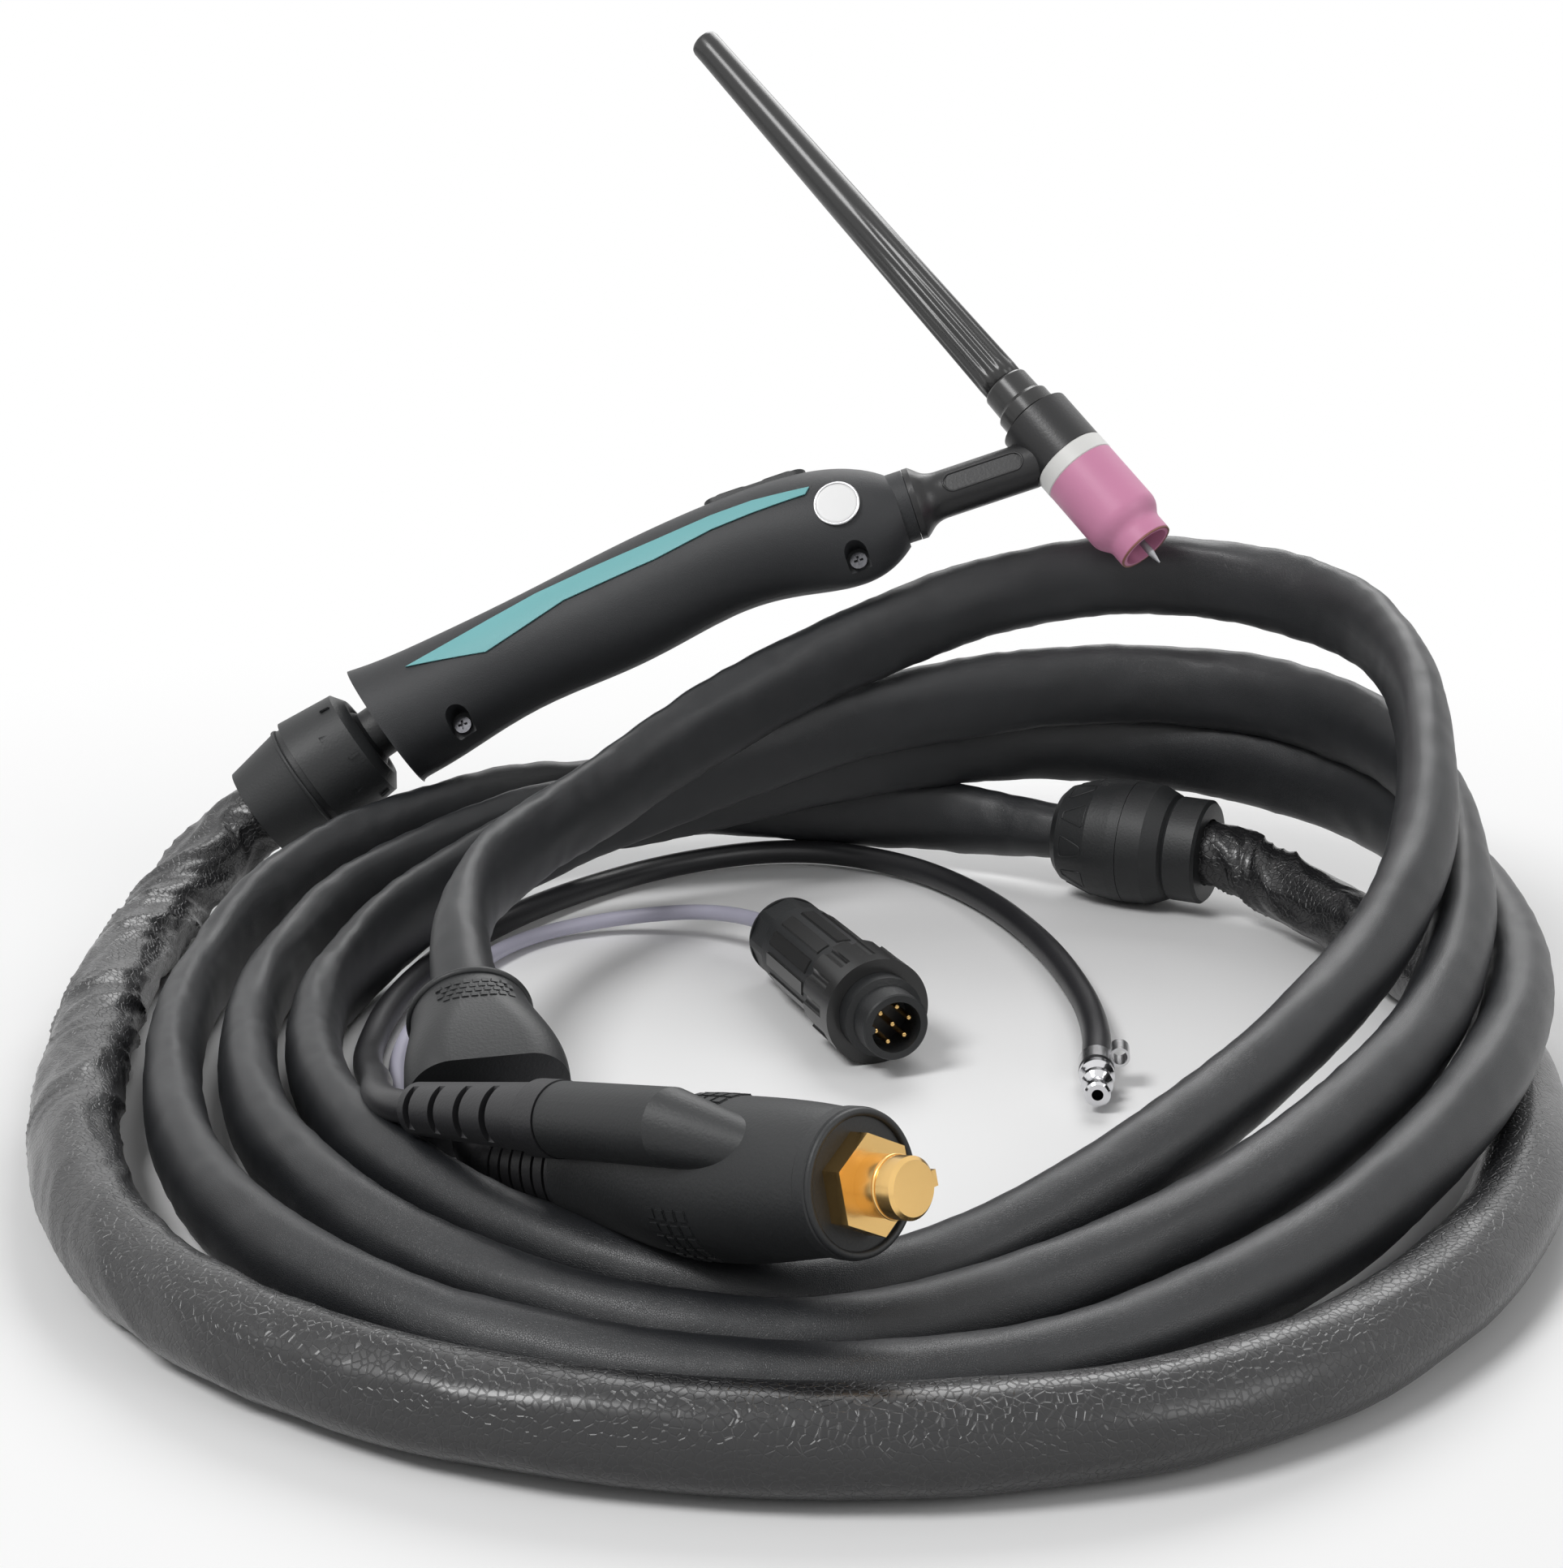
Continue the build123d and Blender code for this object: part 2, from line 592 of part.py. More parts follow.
ARCH = shifted([
    (20, -137, 11), (58, -119, 19), (93, -92, 29), (125, -59, 39), (155, -22, 51), (176, 14, 68),
    (188, 64, 85), (191, 108, 99), (184, 148, 106), (161, 180, 109), (124, 199, 110),
    (84, 202, 105), (46, 192, 95), (12, 177, 83), (-17, 158, 71), (-42, 138, 59), (-62, 114, 51),
    (-78, 86, 47), (-88, 54, 44), (-90, 22, 41.5), (-85.8, -5.6, 37.2),
])
GAS_ROUTE = shifted([
    (-102, -52, 23.5), (-105, -32, 19), (-112, -6, 11), (-117, 22, 5.5), (-117, 58, 5),
    (-110, 95, 5), (-96, 132, 5), (-73, 168, 5), (-38, 203, 5), (4, 221, 5), (42, 204, 5),
    (68, 166, 5), (84, 118, 5), (91, 70, 5), (91, 36, 6), (88, 14, 6),
])
CONTROL_ROUTE = shifted([
    (-48, -71, 4.5), (-30, -80, 3.2), (-13, -90, 3.2), (-5, -103, 3.2), (-14, -116, 3.2),
    (-34, -113.5, 3.2), (-52, -102, 3.2), (-76, -77, 3.2), (-92, -49, 3.2), (-102, -15, 3.2),
    (-109, 20, 3.2), (-108, 52, 3.2), (-100, 85, 3.2), (-91, 113, 4), (-75, 133, 4),
    (-50, 141, 6), (-24, 132, 11),
])


def middle(first, second):
    return tuple((a + b) / 2 for a, b in zip(first, second))


SEAM_1 = middle(TURN_1A[-1], TURN_1B[0])
SEAM_2 = middle(TURN_1B[-1], TURN_2A[0])
SEAM_3 = middle(TURN_2A[-1], TURN_2B[0])
SEAM_4 = middle(TURN_2B[-1], TURN_3A[0])
SEAM_5 = middle(TURN_3A[-1], ARCH[0])
COUPLING_LEATHER_FACE = COUPLING.from_local_coords(Vector(0, 0, 44))
COUPLING_LEATHER_EXIT = COUPLING.from_local_coords(Vector(0, 0, 60))
COUPLING_SLEEVE_FACE = COUPLING.from_local_coords(Vector(0, 0, 8))
COUPLING_SLEEVE_EXIT = COUPLING.from_local_coords(Vector(0, 0, -10))
HOUSE_FACE = HOUSE.from_local_coords(Vector(0, 0, 2))
CONTROL_OUTLET = HOUSE.from_local_coords(Vector(*CONTROL_AT, HOUSE_LENGTH - 3))
CONTROL_EXIT = HOUSE.from_local_coords(Vector(*CONTROL_AT, 46))
NIPPLE_START = at(87, 5, 6)
CONTROL_PLUG_FACE = ROUND_PLUG.from_local_coords(Vector(0, 0, -86))
CONTROL_PLUG_EXIT = ROUND_PLUG.from_local_coords(Vector(0, 0, -102))


def tube_path(name, points):
    FilletPolyline(*points, radius=bend_radii(name, points))


def as_tuple(vector):
    return (vector.X, vector.Y, vector.Z)


leather_points = [as_tuple(LEATHER_FACE), as_tuple(LEATHER_EXIT), *LEATHER_ROUTE]
leather_points += [as_tuple(COUPLING_LEATHER_EXIT), as_tuple(COUPLING_LEATHER_FACE)]
with BuildPart() as leather_sheath:
    with BuildLine():
        tube_path("leather_sheath", leather_points)
    with BuildSketch(Plane(leather_points[0], z_dir=Vector(*leather_points[1]) - Vector(*leather_points[0]))):
        Circle(LEATHER_R)
    sweep()

turn_1_points = [as_tuple(COUPLING_SLEEVE_FACE), as_tuple(COUPLING_SLEEVE_EXIT), *TURN_1A, SEAM_1]
with BuildPart() as sleeve_turn_1a:
    with BuildLine():
        tube_path("sleeve_turn_1a", turn_1_points)
    with BuildSketch(Plane(turn_1_points[0], z_dir=Vector(*turn_1_points[1]) - Vector(*turn_1_points[0]))):
        Circle(SLEEVE_R)
    sweep()

turn_2_points = [SEAM_1, *TURN_1B, SEAM_2]
with BuildPart() as sleeve_turn_1b:
    with BuildLine():
        tube_path("sleeve_turn_1b", turn_2_points)
    with BuildSketch(Plane(turn_2_points[0], z_dir=Vector(*turn_2_points[1]) - Vector(*turn_2_points[0]))):
        Circle(SLEEVE_R)
    sweep()

turn_3_points = [SEAM_2, *TURN_2A, SEAM_3]
with BuildPart() as sleeve_turn_2a:
    with BuildLine():
        tube_path("sleeve_turn_2a", turn_3_points)
    with BuildSketch(Plane(turn_3_points[0], z_dir=Vector(*turn_3_points[1]) - Vector(*turn_3_points[0]))):
        Circle(SLEEVE_R)
    sweep()

turn_4_points = [SEAM_3, *TURN_2B, SEAM_4]
with BuildPart() as sleeve_turn_2b:
    with BuildLine():
        tube_path("sleeve_turn_2b", turn_4_points)
    with BuildSketch(Plane(turn_4_points[0], z_dir=Vector(*turn_4_points[1]) - Vector(*turn_4_points[0]))):
        Circle(SLEEVE_R)
    sweep()

turn_5_points = [SEAM_4, *TURN_3A, SEAM_5]
with BuildPart() as sleeve_turn_3:
    with BuildLine():
        tube_path("sleeve_turn_3", turn_5_points)
    with BuildSketch(Plane(turn_5_points[0], z_dir=Vector(*turn_5_points[1]) - Vector(*turn_5_points[0]))):
        Circle(SLEEVE_R)
    sweep()

arch_points = [SEAM_5, *ARCH, as_tuple(HOUSE_FACE)]
with BuildPart() as sleeve_arch:
    with BuildLine():
        tube_path("sleeve_arch", arch_points)
    with BuildSketch(Plane(arch_points[0], z_dir=Vector(*arch_points[1]) - Vector(*arch_points[0]))):
        Circle(SLEEVE_R)
    sweep()

control_points = [as_tuple(CONTROL_OUTLET), as_tuple(CONTROL_EXIT), *CONTROL_ROUTE]
control_points = [*control_points, as_tuple(CONTROL_PLUG_EXIT), as_tuple(CONTROL_PLUG_FACE)]
with BuildPart() as control_cable:
    with BuildLine():
        tube_path("control_cable", control_points)
    with BuildSketch(Plane(control_points[0], z_dir=Vector(*control_points[1]) - Vector(*control_points[0]))):
        Circle(CONTROL_R)
    sweep()

# ---- coupling between the leather and the rubber sleeve -----------------------------
COUPLING_SEAM = 26.0
COUPLING_END = 52.0
with BuildPart() as coupling_sleeve_half:
    with BuildSketch(section(COUPLING)):
        with BuildLine():
            Polyline(
                (SLEEVE_R + 0.3, 0),
                (14.0, 0),
                (16.5, 2.5),
                (20.2, 14),
                (21.0, 22),
                (21.0, COUPLING_SEAM - 0.2),
                (7.0, COUPLING_SEAM - 0.2),
                (7.0, 8),
                (SLEEVE_R + 0.3, 8),
                close=True,
            )
        make_face()
    revolve(axis=axis_of(COUPLING))

with BuildPart() as coupling_leather_half:
    with BuildSketch(section(COUPLING)):
        with BuildLine():
            Polyline(
                (7.0, COUPLING_SEAM),
                (21.0, COUPLING_SEAM),
                (20.4, 34),
                (18.0, 39.5),
                (16.8, 40.5),
                (17.6, 41.5),
                (17.6, COUPLING_END - 1),
                (16.6, COUPLING_END),
                (LEATHER_R + 0.3, COUPLING_END),
                (LEATHER_R + 0.3, 44),
                (7.0, 44),
                close=True,
            )
        make_face()
    revolve(axis=axis_of(COUPLING))

# ---- splitter housing ------------------------------------------------------------
# Station, half width, half height, corner.
HOUSE_SKIN = [
    (-5, 15.5, 15.5, 15.2),
    (8, 17.5, 16.8, 14.5),
    (20, 20, 17, 12),
    (HOUSE_LENGTH, 20.5, 16, 11),
]
HOUSE_HOLLOW = [(4, 12, 12, 10), (HOUSE_LENGTH - 3, 17.5, 13, 9)]

with BuildPart() as splitter_top:
    for station, wide, high, corner in HOUSE_SKIN:
        with BuildSketch(moved(HOUSE, z=station)):
            RectangleRounded(2 * wide, 2 * high, corner)
    loft()
    for station, wide, high, corner in HOUSE_HOLLOW:
        with BuildSketch(moved(HOUSE, z=station)):
            RectangleRounded(2 * wide, 2 * high, corner)
    loft(mode=Mode.SUBTRACT)
    with BuildSketch(moved(HOUSE, z=-6)):
        Circle(SLEEVE_R + 0.3)
    extrude(amount=8, mode=Mode.SUBTRACT)
    with BuildSketch(moved(HOUSE, z=-6)):
        Circle(7)
    extrude(amount=14, mode=Mode.SUBTRACT)
    with BuildSketch(moved(HOUSE, z=HOUSE_LENGTH - 4)):
        with Locations(POWER_AT):
            Circle(POWER_R + 0.9)
        with Locations(CONTROL_AT):
            Circle(CONTROL_R + 0.3)
    extrude(amount=6, mode=Mode.SUBTRACT)
    split(bisect_by=Plane(HOUSE.origin, x_dir=HOUSE.x_dir, z_dir=HOUSE.y_dir).offset(-1), keep=Keep.TOP)

with BuildPart() as splitter_bottom:
    for station, wide, high, corner in HOUSE_SKIN:
        with BuildSketch(moved(HOUSE, z=station)):
            RectangleRounded(2 * wide, 2 * high, corner)
    loft()
    for station, wide, high, corner in HOUSE_HOLLOW:
        with BuildSketch(moved(HOUSE, z=station)):
            RectangleRounded(2 * wide, 2 * high, corner)
    loft(mode=Mode.SUBTRACT)
    with BuildSketch(moved(HOUSE, z=-6)):
        Circle(SLEEVE_R + 0.3)
    extrude(amount=8, mode=Mode.SUBTRACT)
    with BuildSketch(moved(HOUSE, z=-6)):
        Circle(7)
    extrude(amount=14, mode=Mode.SUBTRACT)
    with BuildSketch(moved(HOUSE, z=HOUSE_LENGTH - 4)):
        with Locations(POWER_AT):
            Circle(POWER_R + 0.9)
        with Locations(CONTROL_AT):
            Circle(CONTROL_R + 0.3)
    extrude(amount=6, mode=Mode.SUBTRACT)
    split(bisect_by=Plane(HOUSE.origin, x_dir=HOUSE.x_dir, z_dir=-HOUSE.y_dir).offset(1), keep=Keep.TOP)

# ---- machine plug ------------------------------------------------------------------
# Stations run along the contact pin's axis from the flange's front face, negative to the rear.
FLANGE_THICK = 4.0
# Station, drop of the middle, radius.
BARREL = [
    (-FLANGE_THICK - 0.1, 0.0, 15.2),
    (-18, -0.5, 16.7),
    (-42, -1.6, 18.0),
    (-62, -1.2, 17.0),
    (-89, -2.0, 14.0),
]
BRANCH_TURN = radians(45)              # the gas branch runs beside the barrel, up and to the left
BRANCH_REACH = 19.5                    # between the two axes
BRANCH_R = 8.6
BRANCH_FRONT = -40.0
BRANCH_REAR = -78.5
BRANCH_FAIRING = [(BRANCH_FRONT, BRANCH_REACH, BRANCH_R), (-18, 10, 5)]
COLLAR_R = 8.9
BOOT_DROP = -3.0
PARTING = Plane(
    PLUG.origin,
    x_dir=PLUG.z_dir,
    z_dir=PLUG.x_dir * sin(BRANCH_TURN) + PLUG.y_dir * cos(BRANCH_TURN),
)


def branch_plane(station, reach):
    return moved(PLUG, x=-reach * cos(BRANCH_TURN), y=reach * sin(BRANCH_TURN), z=station)


RIB_COUNT = 7
RIB_PITCH = 5.2
RIBBED_LENGTH = RIB_COUNT * RIB_PITCH + 3
RIBBED = Plane(PLUG.from_local_coords(Vector(0, BOOT_DROP, -89.3)), z_dir=-PLUG.z_dir)
SLOTTED_LENGTH = 58.0
SLOTTED = Plane(branch_plane(BRANCH_REAR - 0.1, BRANCH_REACH).origin, z_dir=-PLUG.z_dir)

with BuildPart() as plug_bores:
    with BuildSketch(moved(PLUG, z=-60)):
        Circle(8.0)
    extrude(amount=60)
    with BuildSketch(moved(PLUG, y=BOOT_DROP, z=-95)):
        Circle(POWER_R + 0.4)
    extrude(amount=40)
    with BuildSketch(branch_plane(BRANCH_REAR - 1, BRANCH_REACH)):
        Circle(GAS_R + 0.3)
    extrude(amount=34)
    with BuildSketch(branch_plane(BRANCH_REAR - 14, BRANCH_REACH)):
        Circle(COLLAR_R + 0.3)
    extrude(amount=14)

with BuildPart() as plug_shell_upper:
    for station, drop, radius in BARREL:
        with BuildSketch(moved(PLUG, y=drop, z=station)):
            Circle(radius)
    loft()
    with BuildSketch(branch_plane(BRANCH_REAR, BRANCH_REACH)):
        Circle(BRANCH_R)
    extrude(amount=BRANCH_FRONT - BRANCH_REAR)
    for station, reach, radius in BRANCH_FAIRING:
        with BuildSketch(branch_plane(station, reach)):
            Circle(radius)
    loft()
    add(plug_bores.part, mode=Mode.SUBTRACT)
    split(bisect_by=PARTING, keep=Keep.TOP)

with BuildPart() as plug_shell_lower:
    for station, drop, radius in BARREL:
        with BuildSketch(moved(PLUG, y=drop, z=station)):
            Circle(radius)
    loft()
    with BuildSketch(branch_plane(BRANCH_REAR, BRANCH_REACH)):
        Circle(BRANCH_R)
    extrude(amount=BRANCH_FRONT - BRANCH_REAR)
    for station, reach, radius in BRANCH_FAIRING:
        with BuildSketch(branch_plane(station, reach)):
            Circle(radius)
    loft()
    add(plug_bores.part, mode=Mode.SUBTRACT)
    split(bisect_by=PARTING, keep=Keep.BOTTOM)

with BuildPart() as plug_flange:
    with BuildSketch(moved(PLUG, z=-FLANGE_THICK)):
        Circle(FLANGE_R)
        Circle(SHANK_R + 0.1, mode=Mode.SUBTRACT)
    extrude(amount=FLANGE_THICK)
    chamfer(plug_flange.edges().filter_by(GeomType.CIRCLE).sort_by(SortBy.RADIUS)[-2:], 0.5)

with BuildPart() as contact_pin:
    with BuildSketch(moved(PLUG, z=-30)):
        Circle(SHANK_R)
    extrude(amount=30)
    with BuildSketch(PLUG):
        RegularPolygon(HEX_ACROSS_FLATS / 2, 6, major_radius=False, rotation=30)
    extrude(amount=HEX_THICK)
    with BuildSketch(moved(PLUG, z=HEX_THICK)):
        Circle(PIN_R)
    extrude(amount=PIN_REACH - HEX_THICK)
    chamfer(contact_pin.faces().sort_by(axis_of(PLUG))[-1].edges(), 0.8)
    with BuildSketch(moved(PLUG, x=PIN_R - 0.4, z=HEX_THICK + 7.2)):
        Rectangle(3.0, 3.4)
    extrude(amount=2.6)

with BuildPart() as ribbed_boot:
    with BuildSketch(section(RIBBED)):
        with BuildLine():
            Polyline(
                (POWER_R + 0.3, 0),
                (10.4, 0),
                (7.4, RIBBED_LENGTH),
                (POWER_R + 0.3, RIBBED_LENGTH),
                close=True,
            )
        make_face()
        for rib in range(RIB_COUNT):
            rib_r = 12.4 - 0.65 * rib
            with Locations(((POWER_R + 1 + rib_r) / 2, rib * RIB_PITCH + 1.7)):
                Rectangle(rib_r - POWER_R - 1, 3.3)
    revolve(axis=axis_of(RIBBED))

boot_tail = RIBBED.from_local_coords(Vector(0, 0, RIBBED_LENGTH + 8.6))
power_inlet = HOUSE.from_local_coords(Vector(*POWER_AT, HOUSE_LENGTH - 3))
power_points = [as_tuple(RIBBED.origin), as_tuple(boot_tail), as_tuple(power_inlet)]
with BuildPart() as power_cable:
    with BuildLine():
        tube_path("power_cable", power_points)
    with BuildSketch(RIBBED):
        Circle(POWER_R)
    sweep()

with BuildPart() as slotted_boot:
    with BuildSketch(section(SLOTTED)):
        with BuildLine():
            Polyline(
                (GAS_R + 0.3, 0.3),
                (COLLAR_R, 0.3),
                (COLLAR_R, 8),
                (8.0, 8.6),
                (6.4, SLOTTED_LENGTH - 0.2),
                (GAS_R - 1.5, SLOTTED_LENGTH - 0.2),
                (GAS_R - 1.5, SLOTTED_LENGTH - 6),
                (GAS_R + 0.3, SLOTTED_LENGTH - 8),
                close=True,
            )
        make_face()
    revolve(axis=axis_of(SLOTTED))
    for slot in range(4):
        for turned in (0, 180):
            with BuildSketch(moved(SLOTTED, z=14 + slot * 11 + turned / 32)):
                with Locations(Location((0, 0), turned + 20)):
                    with Locations((8, 0)):
                        Rectangle(8, 15)
            extrude(amount=2.6, mode=Mode.SUBTRACT)

gas_inlet = SLOTTED.from_local_coords(Vector(0, 0, SLOTTED_LENGTH))
gas_exit = SLOTTED.from_local_coords(Vector(0, 0, SLOTTED_LENGTH + 12))
gas_points = [as_tuple(gas_inlet), as_tuple(gas_exit), *GAS_ROUTE, NIPPLE_START]
with BuildPart() as gas_hose:
    with BuildLine():
        tube_path("gas_hose", gas_points)
    with BuildSketch(Plane(gas_points[0], z_dir=Vector(*gas_points[1]) - Vector(*gas_points[0]))):
        Circle(GAS_R)
    sweep()

# ---- gas nipple with ear clamp -------------------------------------------------------
nipple_dir = Vector(*NIPPLE_START) - Vector(*GAS_ROUTE[-1])
NIPPLE = Plane(NIPPLE_START, x_dir=(0.9939, -0.1104, 0), z_dir=nipple_dir)
NIPPLE_BORE_R = 1.6
with BuildPart() as gas_nipple:
    with BuildSketch(section(NIPPLE)):
        with BuildLine():
            Polyline(
                (NIPPLE_BORE_R, 0.1),
                (4.9, 0.1),
                (4.9, 2.2),
                (3.3, 3.2),
                (3.3, 5.0),
                (4.4, 6.0),
                (4.4, 8.0),
                (2.9, 9.2),
                (2.6, 11.5),
                (3.6, 12.8),
                (3.6, 15.0),
                (3.0, 15.6),
                (NIPPLE_BORE_R, 15.6),
                close=True,
            )
        make_face()
    revolve(axis=axis_of(NIPPLE))

with BuildPart() as ear_clamp:
    with BuildSketch(moved(NIPPLE, z=-8.5)):
        Circle(GAS_R + 0.9)
        Circle(GAS_R + 0.3, mode=Mode.SUBTRACT)
    extrude(amount=7)
    with BuildSketch(moved(NIPPLE, z=-8.5)):
        with Locations(Location((0, 0), 35)):
            with Locations((GAS_R + 3.4, 0)):
                Circle(2.8)
                Circle(2.1, mode=Mode.SUBTRACT)
    extrude(amount=7)

# ---- seven-pin round plug ------------------------------------------------------------
SHELL_R = 9.7
SHELL_BORE_R = 7.4
RING_FRONT = -13.6
RING_REAR = -33.0
BODY_REAR = -74.0
with BuildPart() as round_plug_body:
    with BuildSketch(section(ROUND_PLUG)):
        with BuildLine():
            Polyline(
                (SHELL_BORE_R, 0),
                (SHELL_R - 0.4, 0),
                (SHELL_R, -0.4),
                (SHELL_R, -8),
                (11.7, -8.6),
                (11.7, RING_REAR + 0.2),
                (13.0, RING_REAR - 0.2),
                (13.0, BODY_REAR),
                (8.0, BODY_REAR),
                (8.0, -24),
                (SHELL_BORE_R, -24),
                close=True,
            )
        make_face()
    revolve(axis=axis_of(ROUND_PLUG))
    with BuildSketch(moved(ROUND_PLUG, x=-SHELL_BORE_R, z=-10)):
        Circle(1.2)
    extrude(amount=10)

with BuildPart() as coupling_ring:
    with BuildSketch(moved(ROUND_PLUG, z=RING_REAR + 0.5)):
        Circle(15.5)
        Circle(11.7 + RUN, mode=Mode.SUBTRACT)
        with PolarLocations(15.9, 12):
            Circle(1.7, mode=Mode.SUBTRACT)
    extrude(amount=14)
    with BuildSketch(moved(ROUND_PLUG, z=RING_FRONT - 4.95)):
        Circle(15.6)
        Circle(11.7 + RUN, mode=Mode.SUBTRACT)
    extrude(amount=4.95)

with BuildPart() as pin_insert:
    with BuildSketch(moved(ROUND_PLUG, z=-20)):
        Circle(SHELL_BORE_R - 0.02)
        with Locations((-SHELL_BORE_R, 0)):
            Circle(1.3, mode=Mode.SUBTRACT)
    extrude(amount=9.5)
    with BuildSketch(moved(ROUND_PLUG, z=-14)):
        Circle(0.8)
        with PolarLocations(5.2, 6, start_angle=15):
            Circle(0.8)
    extrude(amount=4, mode=Mode.SUBTRACT)

with BuildPart() as contact_pins:
    with BuildSketch(moved(ROUND_PLUG, z=-14)):
        Circle(0.8)
        with PolarLocations(5.2, 6, start_angle=15):
            Circle(0.8)
    extrude(amount=11.5)
    fillet(contact_pins.faces().sort_by(axis_of(ROUND_PLUG))[-7:].edges(), 0.5)

with BuildPart() as cable_nut:
    with BuildSketch(section(ROUND_PLUG)):
        with BuildLine():
            Polyline(
                (3.0, -80),
                (3.0, BODY_REAR - 0.3),
                (12.6, BODY_REAR - 0.3),
                (12.6, -86),
                (10.6, -89.5),
                (CONTROL_R + 0.3, -90.5),
                (CONTROL_R + 0.3, -86),
                (2.0, -86),
                (2.0, -80),
                close=True,
            )
        make_face()
    revolve(axis=axis_of(ROUND_PLUG))
    with BuildSketch(moved(ROUND_PLUG, z=BODY_REAR - 11)):
        Circle(16)
        RegularPolygon(12.0, 8, major_radius=False, mode=Mode.SUBTRACT)
    extrude(amount=11.5, mode=Mode.SUBTRACT)

PIECES = {
    "ceramic_nozzle": ceramic_nozzle,
    "insulator_ring": insulator_ring,
    "head_core": head_core,
    "head_body": head_body,
    "gas_power_tube": gas_power_tube,
    "collet_body": collet_body,
    "collet": collet,
    "electrode": electrode,
    "cap_collar": cap_collar,
    "back_cap": back_cap,
    "cap_oring": cap_oring,
    "inlay_left": inlay_left,
    "inlay_right": inlay_right,
    "handle_shell_left": handle_shell_left,
    "handle_shell_right": handle_shell_right,
    "badge_left": badge_left,
    "badge_right": badge_right,
    "handle_screws": handle_screws,
    "trigger_frame": trigger_frame,
    "front_button": front_button,
    "rear_button": rear_button,
    "switch_board": switch_board,
    "micro_switches": micro_switches,
    "swivel_ball": swivel_ball,
    "ring_nut": ring_nut,
    "clamp_cone": clamp_cone,
    "leather_sheath": leather_sheath,
    "sleeve_turn_1a": sleeve_turn_1a,
    "sleeve_turn_1b": sleeve_turn_1b,
    "sleeve_turn_2a": sleeve_turn_2a,
    "sleeve_turn_2b": sleeve_turn_2b,
    "sleeve_turn_3": sleeve_turn_3,
    "sleeve_arch": sleeve_arch,
    "gas_hose": gas_hose,
    "control_cable": control_cable,
    "power_cable": power_cable,
    "coupling_sleeve_half": coupling_sleeve_half,
    "coupling_leather_half": coupling_leather_half,
    "splitter_top": splitter_top,
    "splitter_bottom": splitter_bottom,
    "plug_shell_upper": plug_shell_upper,
    "plug_shell_lower": plug_shell_lower,
    "plug_flange": plug_flange,
    "contact_pin": contact_pin,
    "ribbed_boot": ribbed_boot,
    "slotted_boot": slotted_boot,
    "gas_nipple": gas_nipple,
    "ear_clamp": ear_clamp,
    "round_plug_body": round_plug_body,
    "coupling_ring": coupling_ring,
    "pin_insert": pin_insert,
    "contact_pins": contact_pins,
    "cable_nut": cable_nut,
}
for label, piece in PIECES.items():
    piece.part.label = label
    export_step(piece.part, f"parts/{label}.step")
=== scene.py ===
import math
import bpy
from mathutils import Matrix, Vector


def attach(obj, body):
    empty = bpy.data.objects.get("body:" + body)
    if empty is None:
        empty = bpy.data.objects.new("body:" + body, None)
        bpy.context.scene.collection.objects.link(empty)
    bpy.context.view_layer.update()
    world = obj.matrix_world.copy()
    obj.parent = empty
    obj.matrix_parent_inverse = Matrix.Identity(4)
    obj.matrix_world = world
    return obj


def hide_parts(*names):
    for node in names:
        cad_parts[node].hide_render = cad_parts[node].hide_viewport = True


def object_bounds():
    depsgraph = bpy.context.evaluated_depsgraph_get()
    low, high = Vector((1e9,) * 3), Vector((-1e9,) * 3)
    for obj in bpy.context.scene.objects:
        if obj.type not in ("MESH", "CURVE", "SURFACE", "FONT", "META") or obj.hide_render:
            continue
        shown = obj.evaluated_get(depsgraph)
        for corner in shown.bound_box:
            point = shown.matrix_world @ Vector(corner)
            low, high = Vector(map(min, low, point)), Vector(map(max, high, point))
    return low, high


bl_info = {
    "name": "Welding torch with coiled cable",
    "version": (1, 0, 0),
    "blender": (4, 5, 0),
    "location": "3D View > Sidebar > Torch",
    "description": "Dresses the torch frame with cords, moulded details, finishes and a studio",
    "category": "Object",
}

import bmesh
import bpy
from mathutils import Matrix, Vector, noise

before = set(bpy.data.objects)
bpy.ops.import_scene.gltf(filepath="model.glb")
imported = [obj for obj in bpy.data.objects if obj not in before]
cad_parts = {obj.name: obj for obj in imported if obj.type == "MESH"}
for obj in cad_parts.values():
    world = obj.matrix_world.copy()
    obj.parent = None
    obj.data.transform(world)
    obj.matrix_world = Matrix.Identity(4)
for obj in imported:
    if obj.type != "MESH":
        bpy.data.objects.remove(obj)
CAD_BOX = [list(corner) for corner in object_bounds()]
FLOOR_Z = CAD_BOX[0][2]

# The contact pin's base, from the middle of the coil on the floor, metres.
PIN_BASE = Vector((0.0193, -0.1675, 0.0523))
MM = 0.001


def on_floor(x, y, z):
    return Vector((x, y, z)) - PIN_BASE


def laid(route):
    return [on_floor(*(value * MM for value in point)) for point in route]


def stand(name, data):
    """A new object that holds data, in the scene."""
    made = bpy.data.objects.new(name, data)
    bpy.context.scene.collection.objects.link(made)
    return made


def frame_at(origin, along, side):
    """A matrix whose z axis runs along and whose x axis is as near side as it can be."""
    z = Vector(along).normalized()
    x = Vector(side)
    x = (x - z * x.dot(z)).normalized()
    placed = Matrix((x, z.cross(x), z)).transposed().to_4x4()
    placed.translation = origin
    return placed


